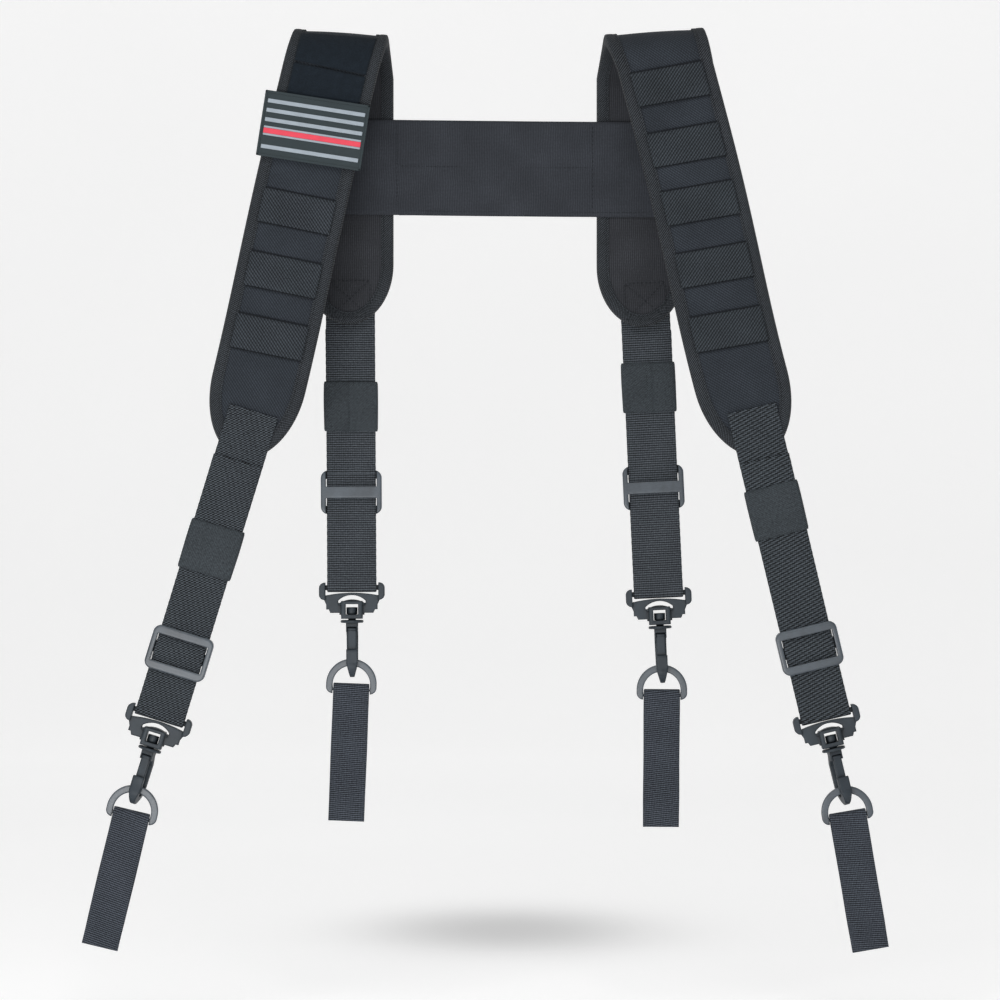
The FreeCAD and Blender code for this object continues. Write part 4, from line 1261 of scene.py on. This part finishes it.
def plate(name, place, width, tall, corner, depth, bevel, material, centre=(0, 0), base=0.0):
    """A plate with rounded corners and a bevelled rim. It stands up along the place's y."""
    loops = [(0.0, 0.0), (0.0, depth - bevel), (bevel * 0.3, depth - bevel * 0.3), (bevel, depth)]
    points = []
    per_corner = 6
    for inset, height in loops:
        radius = max(corner - inset, 0.05 * MM)
        half_x, half_z = width / 2 - inset - radius, tall / 2 - inset - radius
        for turn, (sx, sz) in enumerate([(1, 1), (-1, 1), (-1, -1), (1, -1)]):
            start = turn * 90
            for x, z in arc_points((sx * half_x, sz * half_z), radius, start, start + 90, per_corner):
                points.append((x + centre[0], base + height, z + centre[1]))
    count = 4 * per_corner
    faces = grid_faces(len(loops), count, round_columns=True)
    faces.append(tuple(range(count))[::-1])
    faces.append(tuple(range((len(loops) - 1) * count, len(loops) * count)))
    piece = mesh_object(name, to_world(points, place), faces, None, material)
    piece.data.polygons.foreach_set("use_smooth", [False] * len(piece.data.polygons))
    return piece


def border(name, place, rim, base, depth):
    """Four raised bars round the edge of the patch."""
    top, side = (PATCH_TALL - rim) / 2, (PATCH_WIDTH - rim) / 2
    bars = []
    for number, (x, z, width, tall) in enumerate([
        (0, top, PATCH_WIDTH, rim),
        (0, -top, PATCH_WIDTH, rim),
        (side, 0, rim, PATCH_TALL),
        (-side, 0, rim, PATCH_TALL),
    ]):
        bars.append(plate(
            f"{name}_{number}", place, width, tall, rim / 2, depth, 0.3 * MM, PATCH_DARK, (x, z), base
        ))
    return joined(name, bars)


def patch():
    """The patch's base with its raised border, and the plain bars on its face."""
    low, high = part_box("patch_base")
    centre = (low + high) / 2
    turn = Matrix.Rotation(math.radians(PATCH_TILT), 4, "Y") @ Matrix.Rotation(math.pi, 4, "Z")
    place = Matrix.Translation(centre) @ turn
    back, face = -PATCH_THICK / 2, PATCH_THICK / 2
    base = plate(
        "patch_plate", place, PATCH_WIDTH, PATCH_TALL, 2.5 * MM, PATCH_THICK, 0.4 * MM, PATCH_DARK, base=back
    )
    rim = border("patch_rim", place, 1.8 * MM, face - 0.2 * MM, 0.75 * MM)
    pale = []
    across = PATCH_WIDTH - 2 * PATCH_BORDER
    for number, (drop, tall) in enumerate(PALE_BARS):
        place_z = PATCH_TALL / 2 - drop
        corner = min(0.5 * MM, tall / 2)
        pale.append(plate(
            f"patch_pale_{number}", place, across, tall, corner, 0.8 * MM, 0.35 * MM, PATCH_PALE,
            (0, place_z), face - 0.15 * MM,
        ))
    pale_bars = joined("patch_pale_bars", pale)
    red = plate(
        "patch_red_stripe", place, across, RED_BAR[1], 0.5 * MM, 0.8 * MM, 0.35 * MM, PATCH_RED,
        (0, PATCH_TALL / 2 - RED_BAR[0]), face - 0.15 * MM,
    )
    whole_base = joined("patch_plate", [base, rim])
    for piece, node, slot in (
        (whole_base, "patch_base", "patch_rubber"),
        (pale_bars, "patch_bars", "patch_pale"),
        (red, "patch_red_bar", "patch_red"),
    ):
        declare(piece, "patch", slot, node)
    coat(frame["nodes"]["patch_hook_backing"], TAPE)


# ---------------------------------------------------------------- stage, light and camera


def stage():
    """A sheet of paper that curves up behind the object."""
    floor, back, bend, reach, top = -0.745, 4.6, 1.6, 9.0, 4.5
    profile = [(-reach, floor), (back - bend, floor)]
    profile += arc_points((back - bend, floor + bend), bend, -90, 0, 16)[1:]
    profile += [(back, top)]
    points = [(x, y, z) for y, z in profile for x in (-reach, reach)]
    sheet = mesh_object("paper_sweep", points, grid_faces(len(profile), 2), None, PAPER)


def softbox(name, place, target, width, height, power):
    light = bpy.data.lights.new(name, "AREA")
    light.shape = "RECTANGLE"
    light.size = width
    light.size_y = height
    light.energy = power
    lamp = bpy.data.objects.new(name, light)
    bpy.context.scene.collection.objects.link(lamp)
    lamp.location = place
    lamp.rotation_mode = "QUATERNION"
    lamp.rotation_quaternion = (Vector(target) - Vector(place)).to_track_quat("-Z", "Y")


def lights():
    world = bpy.data.worlds.new("studio")
    bpy.context.scene.world = world
    world.use_nodes = True
    world.node_tree.nodes["Background"].inputs["Color"].default_value = (1, 1, 1, 1)
    world.node_tree.nodes["Background"].inputs["Strength"].default_value = 0.5
    middle = (0, 0, -0.2)
    softbox("key", (-0.4, -2.4, 2.0), middle, 2.2, 1.6, 40)
    softbox("low", (-0.35, -1.35, -0.66), (0, 0, -0.1), 1.2, 0.12, 9)


def camera():
    data = bpy.data.cameras.new("camera")
    distance, covered_width = 3.0, 0.765
    data.sensor_width = 36
    data.lens = 36 * distance / covered_width
    data.clip_end = 50
    eye = bpy.data.objects.new("camera", data)
    bpy.context.scene.collection.objects.link(eye)
    eye.location = (0.0038, -distance, -0.3485)
    eye.rotation_euler = (math.pi / 2, 0, 0)
    bpy.context.scene.camera = eye


bpy.context.scene.view_settings.view_transform = "Standard"
camera()
lights()
stage()
pads = {side: Pad(side) for side in ("right", "left")}
for shoulder in pads.values():
    pad_body(shoulder)
    pad_binding(shoulder)
rows_and_tapes(pads)
yoke()
loop_field()
patch()
for corner in CORNERS:
    hardware(corner)
    strap = Strap(corner)
    strap_webbing(strap)
    tab_stitches(strap)
    keeper(strap)
    belt_loop(strap)
